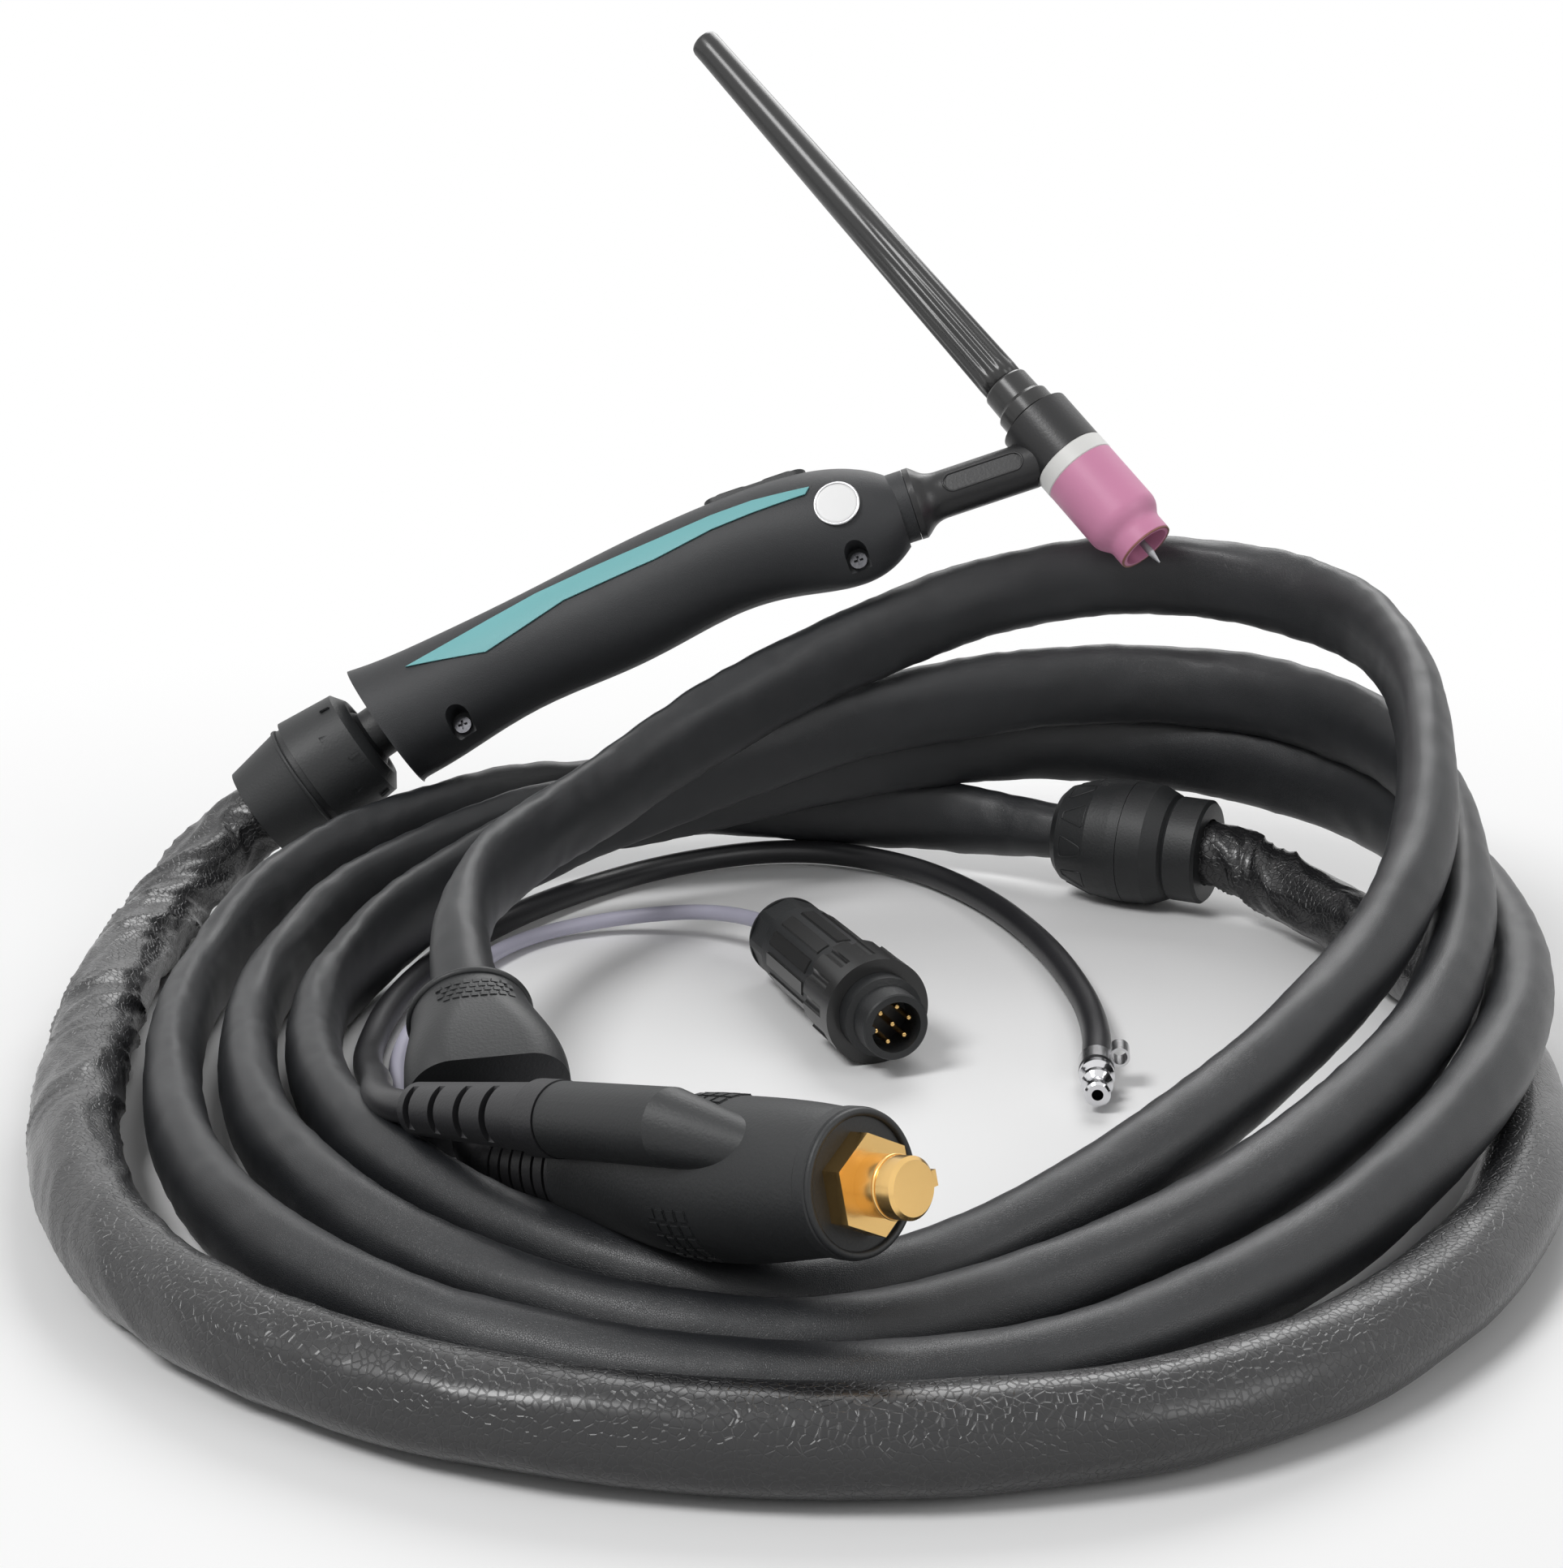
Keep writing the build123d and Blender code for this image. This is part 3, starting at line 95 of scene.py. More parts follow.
# Frames of the torch and of what lies along the cable: z runs along each piece, out of its front or top.
TORCH = frame_at(on_floor(0.0927, 0.1919, 0.1533), (-0.274, 0.543, 0.794), (0.948, 0.013, 0.318))
TORCH_AXES = TORCH.to_3x3()
HEAD_LEAN = math.radians(70)
HEAD = frame_at(
    TORCH.translation,
    TORCH_AXES @ Vector((-math.cos(HEAD_LEAN), 0, math.sin(HEAD_LEAN))),
    TORCH_AXES @ Vector((math.sin(HEAD_LEAN), 0, math.cos(HEAD_LEAN))),
)
REAR_LEAN = math.radians(18)
REAR = frame_at(
    TORCH @ Vector((-0.2445, 0, -0.0185)),
    TORCH_AXES @ Vector((-math.cos(REAR_LEAN), 0, -math.sin(REAR_LEAN))),
    TORCH_AXES @ Vector((0, 1, 0)),
)
PLUG = frame_at(on_floor(0.016, -0.164, 0.051), (0.668, -0.700, 0.253), (0.7234, 0.6904, 0))
HOUSE = frame_at(on_floor(-0.081, -0.024, 0.031), (0.24, -0.92, -0.31), (0.9676, 0.2524, 0))
COUPLING = frame_at(on_floor(0.098, 0.187, 0.0213), (0.882, -0.471, 0), (0.471, 0.882, 0))
ROUND_PLUG = frame_at(on_floor(0.032, 0.014, 0.016), (0.3504, -0.9366, 0.012), (0.9366, 0.3504, 0))

# Where the slotted boot leaves the machine plug, in the plug's frame.
BRANCH_TURN = math.radians(45)
BRANCH_REACH = 0.0195
BRANCH_STATION = -0.0786
SLOTTED_START = Vector((
    -BRANCH_REACH * math.cos(BRANCH_TURN), BRANCH_REACH * math.sin(BRANCH_TURN), BRANCH_STATION,
))

# Route points from the middle of the coil on the floor, millimetres.
LEATHER_ROUTE = [
    (-192, 150, 19), (-198, 120, 13), (-199, 85, 11.5), (-196, 45, 11.5), (-191, 8, 11.5),
    (-184, -32, 11.5), (-174, -70, 11.5), (-158, -107, 11.5), (-135, -138, 11.5), (-101, -166, 11.5),
    (-60, -187, 11.5), (-15, -197, 11.5), (30, -198, 11.5), (76, -189, 11.5), (117, -166, 11.5),
    (151, -130, 11.5), (177, -88, 11.5), (192, -42, 11.5), (199, 5, 11.5), (197, 50, 11.5), (189, 90, 11.5),
    (177, 124, 13), (160, 150, 17),
]
SLEEVE_ROUTE = [
    (80, 199, 20), (50, 213, 20), (14, 220, 22), (-24, 217, 25), (-60, 205, 29), (-94, 188, 31),
    (-124, 163, 30), (-148, 134, 26), (-165, 100, 20), (-172, 62, 13), (-170, 20, 9.5), (-161, -25, 9.5),
    (-147, -68, 9.5), (-126, -105, 9.5), (-98, -136, 9.5), (-65, -159, 9.5), (-27, -172, 9.5),
    (12, -177, 9.5), (54, -169, 11), (94, -149, 15), (130, -119, 21), (161, -82, 28), (186, -42, 34),
    (203, 8, 36), (208, 60, 38), (203, 112, 41), (186, 157, 44), (153, 193, 47), (116, 210, 47),
    (76, 212, 47), (36, 204, 45), (-4, 196, 38), (-44, 183, 32), (-80, 168, 30), (-112, 143, 26),
    (-137, 110, 20), (-151, 70, 13), (-151, 26, 9.5), (-142, -20, 9.5), (-127, -61, 9.5), (-104, -96, 9.5),
    (-75, -128, 9.5), (-39, -149, 9.5), (0, -158, 10), (40, -152, 14), (80, -132, 20), (116, -103, 26),
    (149, -67, 34), (176, -22, 42), (192, 30, 54), (198, 80, 64), (193, 126, 69), (176, 166, 71),
    (145, 192, 72), (108, 200, 71), (70, 197, 68), (34, 190, 62), (0, 181, 54), (-34, 166, 45),
    (-66, 148, 36), (-95, 123, 29), (-118, 94, 21), (-132, 58, 13), (-132, 18, 9.5), (-123, -20, 9.5),
    (-107, -56, 9.5), (-84, -88, 9.5), (-54, -116, 9.5), (-18, -134, 9.5), (20, -137, 11), (58, -119, 19),
    (93, -92, 29), (125, -59, 39), (155, -22, 51), (176, 14, 68), (188, 64, 85), (191, 108, 99),
    (184, 148, 106), (161, 180, 109), (124, 199, 110), (84, 202, 105), (46, 192, 95), (12, 177, 83),
    (-17, 158, 71), (-42, 138, 59), (-62, 114, 51), (-78, 86, 47), (-88, 54, 44), (-90, 22, 41.5),
    (-85.8, -5.6, 37.2),
]
GAS_ROUTE = [
    (-102, -52, 23.5), (-105, -32, 19), (-112, -6, 11), (-117, 22, 5.5), (-117, 58, 5), (-110, 95, 5),
    (-96, 132, 5), (-73, 168, 5), (-38, 203, 5), (4, 221, 5), (42, 204, 5), (68, 166, 5), (84, 118, 5),
    (91, 70, 5), (91, 36, 6), (88, 14, 6),
]
CONTROL_ROUTE = [
    (-48, -71, 4.5), (-30, -80, 3.2), (-13, -90, 3.2), (-5, -103, 3.2), (-14, -116, 3.2),
    (-34, -113.5, 3.2), (-52, -102, 3.2), (-76, -77, 3.2), (-92, -49, 3.2), (-102, -15, 3.2),
    (-109, 20, 3.2), (-108, 52, 3.2), (-100, 85, 3.2), (-91, 113, 4), (-75, 133, 4), (-50, 141, 6),
    (-24, 132, 11),
]

# Real lengths, metres.
LEATHER_LENGTH = 0.99


# ---- sizes and colours a user would change -----------------------------------------
def metres(label, text, value):
    return bpy.props.FloatProperty(name=label, description=text, default=value, unit="LENGTH", precision=5)


def paint(label, text, value):
    return bpy.props.FloatVectorProperty(name=label, description=text, default=value, subtype="COLOR", size=3)


class TorchSizes(bpy.types.PropertyGroup):
    leather_radius: metres("Leather radius", "Half thickness of the leather sheath", 0.0112)
    leather_fold: metres("Leather fold", "Depth of the twisted folds near the swivel", 0.0016)
    sleeve_wrinkle: metres("Sleeve wrinkle", "Depth of the rubber sleeve's wrinkles", 0.0004)
    gas_radius: metres("Gas hose radius", "Half thickness of the gas hose", 0.00415)
    control_radius: metres("Control cable radius", "Half thickness of the control cable", 0.0025)
    flute_depth: metres("Flute depth", "Depth of the back cap's flutes", 0.0007)
    grid_pad: metres("Grip pad", "Side of a raised pad on the machine plug", 0.0029)


class TorchColours(bpy.types.PropertyGroup):
    handle: paint("Handle", "Handle shells", (0.013, 0.014, 0.016))
    inlay: paint("Inlay", "Soft stripe along the handle", (0.19, 0.49, 0.51))
    ceramic: paint("Ceramic", "Gas nozzle", (0.68, 0.27, 0.44))
    sleeve: paint("Sleeve", "Rubber sleeve around the cable", (0.014, 0.015, 0.017))
    leather: paint("Leather", "Leather sheath behind the handle", (0.008, 0.008, 0.009))
    plastic: paint("Plastic", "Plug, coupling and housing", (0.013, 0.014, 0.015))
    lilac: paint("Control cable", "Thin control cable", (0.42, 0.41, 0.50))
    gold: paint("Gold", "Contact pin and plug pins", (0.80, 0.52, 0.20))


def sizes():
    return bpy.context.scene.torch_sizes


def colours():
    return bpy.context.scene.torch_colours


# ---- finishes ------------------------------------------------------------------------
def fill(node, **values):
    """Sets a node's inputs, such as from_max for From Max."""
    for label, value in values.items():
        node.inputs[label.replace("_", " ").title()].default_value = value
    return node


def add(tree, kind, **values):
    return fill(tree.nodes.new(kind), **values)


def combined(tree, operation, first, second):
    """One number made from two, each either fixed or another node's."""
    node = tree.nodes.new("ShaderNodeMath")
    node.operation = operation
    for socket, value in zip(node.inputs, (first, second)):
        if isinstance(value, bpy.types.NodeSocket):
            tree.links.new(value, socket)
        else:
            socket.default_value = value
    return node.outputs[0]


def group(name, values, outputs):
    """A shader group that takes a vector and some values."""
    tree = bpy.data.node_groups.new(name, "ShaderNodeTree")
    tree.interface.new_socket(name="Vector", in_out="INPUT", socket_type="NodeSocketVector")
    for label, value in values.items():
        socket = tree.interface.new_socket(name=label, in_out="INPUT", socket_type="NodeSocketFloat")
        socket.default_value = value
    for label in outputs:
        tree.interface.new_socket(name=label, in_out="OUTPUT", socket_type="NodeSocketFloat")
    return tree, tree.nodes.new("NodeGroupInput"), tree.nodes.new("NodeGroupOutput")


def noise_node(tree, vector, scale, detail):
    node = add(tree, "ShaderNodeTexNoise", detail=detail)
    tree.links.new(vector, node.inputs["Vector"])
    tree.links.new(scale, node.inputs["Scale"])
    return node.outputs["Fac"]


def surface_grain():
    """Fine texture, broad drift and scattered light specks of one moulded or drawn surface."""
    if "surface_grain" in bpy.data.node_groups:
        return bpy.data.node_groups["surface_grain"]
    values = {"Fine Scale": 900.0, "Broad Scale": 25.0, "Speck Size": 0.7}
    tree, given, result = group("surface_grain", values, ("Fine", "Broad", "Specks"))
    vector = given.outputs["Vector"]
    fine = noise_node(tree, vector, given.outputs["Fine Scale"], 3.0)
    broad = noise_node(tree, vector, given.outputs["Broad Scale"], 4.0)
    specks = add(tree, "ShaderNodeMapRange", from_max=0.85)
    tree.links.new(fine, specks.inputs["Value"])
    tree.links.new(given.outputs["Speck Size"], specks.inputs["From Min"])
    tree.links.new(fine, result.inputs["Fine"])
    tree.links.new(broad, result.inputs["Broad"])
    tree.links.new(specks.outputs["Result"], result.inputs["Specks"])
    return tree


def creases():
    """Grain cells and long wrinkles of leather or rubber, and the wrinkles alone as a mask for painted shade
    in their hollows.
    """
    if "creases" in bpy.data.node_groups:
        return bpy.data.node_groups["creases"]
    values = {"Cell Scale": 500.0, "Fold Scale": 90.0, "Fold Share": 0.5}
    tree, given, result = group("creases", values, ("Height", "Fold Shade"))
    cells = tree.nodes.new("ShaderNodeTexVoronoi")
    cells.feature = "DISTANCE_TO_EDGE"
    tree.links.new(given.outputs["Vector"], cells.inputs["Vector"])
    tree.links.new(given.outputs["Cell Scale"], cells.inputs["Scale"])
    flat = add(tree, "ShaderNodeMapRange", from_max=0.12)
    tree.links.new(cells.outputs["Distance"], flat.inputs["Value"])
    folds = noise_node(tree, given.outputs["Vector"], given.outputs["Fold Scale"], 5.0)
    mix = tree.nodes.new("ShaderNodeMix")
    tree.links.new(given.outputs["Fold Share"], mix.inputs["Factor"])
    tree.links.new(flat.outputs["Result"], mix.inputs["A"])
    tree.links.new(folds, mix.inputs["B"])
    tree.links.new(mix.outputs["Result"], result.inputs["Height"])
    # The folds' noise alone goes out as a mask for painted shade: darker colour in the folds' hollows,
    # lighter on their tops.
    tree.links.new(folds, result.inputs["Fold Shade"])
    return tree


def place(tree, shared, where, **values):
    """One copy of a shared group in a material, with its own values."""
    node = tree.nodes.new("ShaderNodeGroup")
    node.node_tree = shared
    tree.links.new(where, node.inputs["Vector"])
    return fill(node, **values)


def blend_colour(tree, factor, first, second):
    """A mix of two colours, each either fixed or another node's."""
    mix = tree.nodes.new("ShaderNodeMix")
    mix.data_type = "RGBA"
    tree.links.new(factor, mix.inputs["Factor"])
    for end, colour in (("A", first), ("B", second)):
        socket = [s for s in mix.inputs if s.name == end and s.type == "RGBA"][0]
        if isinstance(colour, bpy.types.NodeSocket):
            tree.links.new(colour, socket)
        else:
            socket.default_value = (*colour, 1)
    return [s for s in mix.outputs if s.type == "RGBA"][0]


def shade(colour, share):
    return tuple(channel * share for channel in colour)


def blank_finish(name):
    material = bpy.data.materials.new(name)
    material.use_nodes = True
    tree = material.node_tree
    shader = tree.nodes["Principled BSDF"]
    return material, tree, shader, tree.nodes.new("ShaderNodeTexCoord").outputs["Object"]


def uneven_gloss(tree, shader, drift, low, high):
    """Roughness between low and high, as drift goes from nought to one."""
    gloss = add(tree, "ShaderNodeMapRange", to_min=low, to_max=high)
    tree.links.new(drift, gloss.inputs["Value"])
    tree.links.new(gloss.outputs["Result"], shader.inputs["Roughness"])


def raised(tree, shader, height, depth):
    """A bump of the given depth in metres."""
    bump = add(tree, "ShaderNodeBump", distance=depth)
    tree.links.new(height, bump.inputs["Height"])
    tree.links.new(bump.outputs["Normal"], shader.inputs["Normal"])


def finish(name, colour, roughness=0.45, spread=0.12, metallic=0.0, fine=900.0, depth=0.00005,
           drift=0.8, specks=0.0, speck_colour=(0.2, 0.2, 0.2), coat=0.0):
    """A hard finish: drifting colour, uneven gloss, fine grain and, where asked, light specks."""
    if name in bpy.data.materials:
        return bpy.data.materials[name]
    material, tree, shader, where = blank_finish(name)
    grain = place(tree, surface_grain(), where, fine_scale=fine, broad_scale=28.0)
    tone = blend_colour(tree, grain.outputs["Broad"], shade(colour, drift), shade(colour, 2 - drift))
    if specks:
        amount = combined(tree, "MULTIPLY", grain.outputs["Specks"], specks)
        tone = blend_colour(tree, amount, tone, speck_colour)
    tree.links.new(tone, shader.inputs["Base Color"])
    uneven_gloss(tree, shader, grain.outputs["Broad"], roughness - spread, roughness + spread)
    raised(tree, shader, grain.outputs["Fine"], depth)
    fill(shader, metallic=metallic, coat_weight=coat, coat_roughness=0.12)
    return material


def soft_finish(name, colour, roughness, cells, folds, share, depth, coat=0.0):
    """Leather or rubber: grain cells and folds in the bump, and painted shade in the colour, darker in the
    folds' hollows and lighter on their raised parts.
    """
    material, tree, shader, where = blank_finish(name)
    skin = place(tree, creases(), where, cell_scale=cells, fold_scale=folds, fold_share=share)
    grain = place(tree, surface_grain(), where, fine_scale=1400.0, broad_scale=16.0)
    # Painted shade and light: the colour is darker in the folds' hollows and lighter on their raised parts.
    tone = blend_colour(tree, skin.outputs["Fold Shade"], shade(colour, 0.75), shade(colour, 1.3))
    tree.links.new(tone, shader.inputs["Base Color"])
    uneven_gloss(tree, shader, grain.outputs["Broad"], roughness - 0.1, roughness + 0.14)
    raised(tree, shader, skin.outputs["Height"], depth)
    fill(shader, coat_weight=coat, coat_roughness=0.22)
    return material


def moulded_black():
    return finish("moulded_black", colours().plastic, roughness=0.5, fine=1300.0, depth=0.00008)


def gloss_black():
    return finish("gloss_black", (0.012, 0.012, 0.013), roughness=0.2, spread=0.06, depth=0.00001, coat=0.3)


def gold_plate():
    return finish(
        "gold_plate", colours().gold, roughness=0.24, spread=0.08, metallic=1.0, fine=600.0, depth=0.00002,
    )


def bright_steel():
    return finish("bright_steel", (0.62, 0.62, 0.63), roughness=0.25, spread=0.1, metallic=1.0, depth=0.00003)


def dress(material, *nodes):
    """Gives CAD nodes a finish."""
    for node in nodes:
        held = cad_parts[node]
        if not held.material_slots:
            held.data.materials.append(material)
        for slot in held.material_slots:
            slot.material = material


# ---- meshes --------------------------------------------------------------------------
def piece(name, points, faces, material, body):
    """A finished piece in the row frame that rides on one CAD body."""
    mesh = bpy.data.meshes.new(name)
    mesh.from_pydata([tuple(point) for point in points], [], faces)
    mesh.update()
    mesh.polygons.foreach_set("use_smooth", [True] * len(mesh.polygons))
    mesh.materials.append(material)
    made = stand(name, mesh)
    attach(made, body)
    return made


def skin_over(rings, closed=True):
    """Points and outward faces over a row of equal rings, with a centre point at each end."""
    count = len(rings[0])
    points = [point for ring in rings for point in ring]
    faces = []
    for row in range(len(rings) - 1):
        for step in range(count):
            a = row * count + step
            b = row * count + (step + 1) % count
            faces.append((a, b, b + count, a + count))
    if closed:
        for first, flip in ((0, True), ((len(rings) - 1) * count, False)):
            centre = len(points)
            points.append(sum(points[first:first + count], Vector()) / count)
            for step in range(count):
                edge = (first + step, first + (step + 1) % count)
                faces.append((edge[1], edge[0], centre) if flip else (*edge, centre))
    return points, faces


def turned(profile, placed, around=72, shape=None):
    """Rings for a profile of (radius, station) pairs in millimetres about placed's z axis."""
    rings = []
    for radius, station in profile:
        ring = []
        for step in range(around):
            angle = 2 * math.pi * step / around
            reach = radius * MM - (shape(station, angle) if shape else 0)
            ring.append(placed @ Vector((reach * math.cos(angle), reach * math.sin(angle), station * MM)))
        rings.append(ring)
    return rings


def closed_loop(rings):
    """Points and faces over rings that run round and meet themselves."""
    points, faces = skin_over([*rings, rings[0]], closed=False)
    count = len(rings) * len(rings[0])
    return points[:count], [tuple(index % count for index in face) for face in faces]


def ring_band(name, loop, placed, material, body):
    """A ring about placed's z axis whose section is loop, (radius, station) pairs in millimetres."""
    points, faces = closed_loop(turned(loop, placed, 96))
    return piece(name, points, faces, material, body)


def oval(radius, station, half_depth, half_length, steps):
    """The section of a rounded ring, in millimetres."""
    turns = [2 * math.pi * step / steps for step in range(steps)]
    return [(radius + half_depth * math.cos(a), station + half_length * math.sin(a)) for a in turns]


def bead(name, path, outwards, thick, material, body):
    """A thin raised line, thick in millimetres, along a closed path, with each point's outward direction."""
    rings = []
    count = len(path)
    for step, (point, outward) in enumerate(zip(path, outwards)):
        along = (path[(step + 1) % count] - path[step - 1]).normalized()
        side = along.cross(outward).normalized()
        ring = []
        for turn in range(8):
            angle = math.pi * turn / 4
            ring.append(point + (side * math.cos(angle) + outward * math.sin(angle)) * thick * MM / 2)
        rings.append(ring)
    points, faces = closed_loop(rings)
    return piece(name, points, faces, material, body)


def route_line(name, points, resolution):
    """The smooth line of a cord: a NURBS curve through its route, read back as points."""
    curve = cord_curve(name, points, resolution)
    bpy.context.view_layer.update()
    mesh = bpy.data.meshes.new_from_object(curve.evaluated_get(bpy.context.evaluated_depsgraph_get()))
    line = [vertex.co.copy() for vertex in mesh.vertices]
    bpy.data.meshes.remove(mesh)
    bpy.data.objects.remove(curve)
    return line


def cord_curve(name, points, resolution=12):
    data = bpy.data.curves.new(name, "CURVE")
    data.dimensions = "3D"
    data.resolution_u = resolution
    spline = data.splines.new("NURBS")
    spline.points.add(len(points) - 1)
    for control, point in zip(spline.points, points):
        control.co = (*point, 1)
    spline.order_u = 3
    spline.use_endpoint_u = True
    return stand(name, data)


# How far a cord's middle and its lowest points stay above the floor, metres.
FLOOR_SPACE = 0.0004
FLOOR_SKIN = 0.0001


def stations(line):
    """Distance of each point from the line's start."""
    gone = [0.0]
    for before, here in zip(line, line[1:]):
        gone.append(gone[-1] + (here - before).length)
    return gone


def sleeve_rings(line, half_sizes, ripple, around):
    """Flattened rings along a line: half_sizes gives width and height, ripple the surface's dents.

    Also returns the line, lifted where a tall section would sink into the floor.
    """
    gone = stations(line)
    rings, lifted = [], []
    for index, point in enumerate(line):
        ahead = line[min(index + 1, len(line) - 1)] - line[max(index - 1, 0)]
        ahead.normalize()
        side = ahead.cross(Vector((0, 0, 1))).normalized()
        up = side.cross(ahead).normalized()
        half_width, half_height = half_sizes(gone[index], gone[-1], point)
        lowest = FLOOR_Z + half_height * abs(up.z) + FLOOR_SPACE
        middle = Vector((point.x, point.y, max(point.z, lowest)))
        ring = []
        for step in range(around):
            angle = 2 * math.pi * step / around
            swell = 1 + ripple(gone[index], angle, middle) / half_width
            across = side * (half_width * swell * math.cos(angle))
            ring.append(middle + across + up * (half_height * swell * math.sin(angle)))
        for spot in ring:
            spot.z = max(spot.z, FLOOR_Z + FLOOR_SKIN)
        rings.append(ring)
        lifted.append(middle)
    return rings, lifted


def repeat_tree():
    """A pad on every point, turned by the point's own turn, as one mesh."""
    if "repeat_pads" in bpy.data.node_groups:
        return bpy.data.node_groups["repeat_pads"]
    tree = bpy.data.node_groups.new("repeat_pads", "GeometryNodeTree")
    for label, way, kind in (
        ("Geometry", "INPUT", "Geometry"), ("Pad Size", "INPUT", "Vector"), ("Finish", "INPUT", "Material"),
        ("Geometry", "OUTPUT", "Geometry"),
    ):
        tree.interface.new_socket(name=label, in_out=way, socket_type="NodeSocket" + kind)
    nodes = {
        name: tree.nodes.new(kind)
        for name, kind in (
            ("given", "NodeGroupInput"), ("points", "GeometryNodeMeshToPoints"),
            ("pad", "GeometryNodeMeshCube"), ("turn", "GeometryNodeInputNamedAttribute"),
            ("place", "GeometryNodeInstanceOnPoints"), ("real", "GeometryNodeRealizeInstances"),
            ("paint", "GeometryNodeSetMaterial"), ("result", "NodeGroupOutput"),
        )
    }
    nodes["turn"].data_type = "FLOAT_VECTOR"
    nodes["turn"].inputs["Name"].default_value = "turn"
    for source, output, target, entry in (
        ("given", "Geometry", "points", "Mesh"), ("given", "Pad Size", "pad", "Size"),
        ("points", "Points", "place", "Points"), ("pad", "Mesh", "place", "Instance"),
        ("turn", "Attribute", "place", "Rotation"), ("place", "Instances", "real", "Geometry"),
        ("real", "Geometry", "paint", "Geometry"), ("given", "Finish", "paint", "Material"),
        ("paint", "Geometry", "result", "Geometry"),
    ):
        tree.links.new(nodes[source].outputs[output], nodes[target].inputs[entry])
    return tree


def pads(name, places, size, material, body, round_off=0.25):
    """Raised pads of one size, size in millimetres, at every matrix in places."""
    seeds = bpy.data.meshes.new(name + "_seeds")
    seeds.from_pydata([tuple(spot.translation) for spot in places], [], [])
    turns = seeds.attributes.new("turn", "FLOAT_VECTOR", "POINT")
    for held, spot in zip(turns.data, places):
        held.vector = spot.to_euler()
    holder = stand(name + "_seeds", seeds)
    tree = repeat_tree()
    modifier = holder.modifiers.new("pads", "NODES")
    modifier.node_group = tree
    sockets = {item.name: item.identifier for item in tree.interface.items_tree if item.in_out == "INPUT"}
    modifier[sockets["Pad Size"]] = [side * MM for side in size]
    modifier[sockets["Finish"]] = material
    bpy.context.view_layer.update()
    mesh = bpy.data.meshes.new_from_object(holder.evaluated_get(bpy.context.evaluated_depsgraph_get()))
    bpy.data.objects.remove(holder)
    if not mesh.polygons:
        raise RuntimeError(f"{name} came out empty")
    shaped = bmesh.new()
    shaped.from_mesh(mesh)
    bmesh.ops.bevel(shaped, geom=shaped.edges[:], offset=round_off * MM, segments=2, affect="EDGES")
    shaped.to_mesh(mesh)
    shaped.free()
    mesh.polygons.foreach_set("use_smooth", [False] * len(mesh.polygons))
    mesh.polygons.foreach_set("material_index", [0] * len(mesh.polygons))
    mesh.materials.clear()
    mesh.materials.append(material)
    mesh.name = name
    made = stand(name, mesh)
    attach(made, body)
    return made


def on_side(placed, middle, angle, radius, station, slope=0.0):
    """Where a pad sits on a round piece: x around it, y along it, z outwards."""
    spoke = Vector((math.cos(angle), math.sin(angle), 0))
    around = Vector((-math.sin(angle), math.cos(angle), 0))
    along = Vector((0, 0, 1)) + spoke * slope
    along.normalize()
    spot = Matrix((around, along, around.cross(along))).transposed().to_4x4()
    spot.translation = Vector((middle[0], middle[1], station)) * MM + spoke * radius * MM
    return placed @ spot


# ---- camera and cords ------------------------------------------------------------------
CAMERA_PLACE = on_floor(0, -0.623, 0.263)
CAMERA_TILT = math.radians(74.5)
CAMERA_LENS = 56.07


class TORCH_OT_camera(bpy.types.Operator):
    """Sets the camera at the viewing angle the torch is shown from."""

    bl_idname = "torch.camera"
    bl_label = "Camera"

    def execute(self, context):
        data = bpy.data.cameras.new("view")
        data.lens = CAMERA_LENS
        data.sensor_width = 36.0
        camera = stand("view", data)
        camera.location = CAMERA_PLACE
        camera.rotation_euler = (CAMERA_TILT, 0, 0)
        context.scene.camera = camera
        return {"FINISHED"}


# Stations of the leather in the frames of the swivel and the coupling, metres.
LEATHER_START = 0.040
LEATHER_STRAIGHT = 0.061
LEATHER_TURNS_IN = 0.060
LEATHER_END = 0.0442


def leather_halves(gone, length, point):
    """Fuller behind the swivel, slimmer and smoother towards the coupling."""
    radius = sizes().leather_radius
    fuller = 0.0014 * math.exp(-gone / 0.22)
    ends = min(gone, length - gone)
    radius += fuller * min(1, ends / 0.04)
    return radius, radius


def leather_ripple(gone, angle, middle):
    """Sharp twisted folds behind the swivel, which ease into a few soft dents by the front."""
    twist = 2 * math.pi * gone / 0.075 + 2 * angle + 3.2 * noise.noise(middle * 22)
    fold = 1 - 2 * abs(math.sin(twist)) ** 0.7
    fine = 1 - 2 * abs(math.sin(2.3 * twist + 5 * noise.noise(middle * 60)))
    strength = sizes().leather_fold * (math.exp(-((gone / 0.26) ** 2)) + 0.05)
    left = LEATHER_LENGTH - gone
    near_coupling = sizes().leather_fold * 0.7 * math.exp(-((left / 0.10) ** 2))
    drape = 0.0008 * noise.noise(Vector((gone * 28, math.cos(angle) * 1.3, math.sin(angle) * 1.3)))
    ends = min(1, gone / 0.02) * min(1, left / 0.02)
    return ends * ((strength + near_coupling) * (0.7 * fold + 0.3 * fine) + drape)


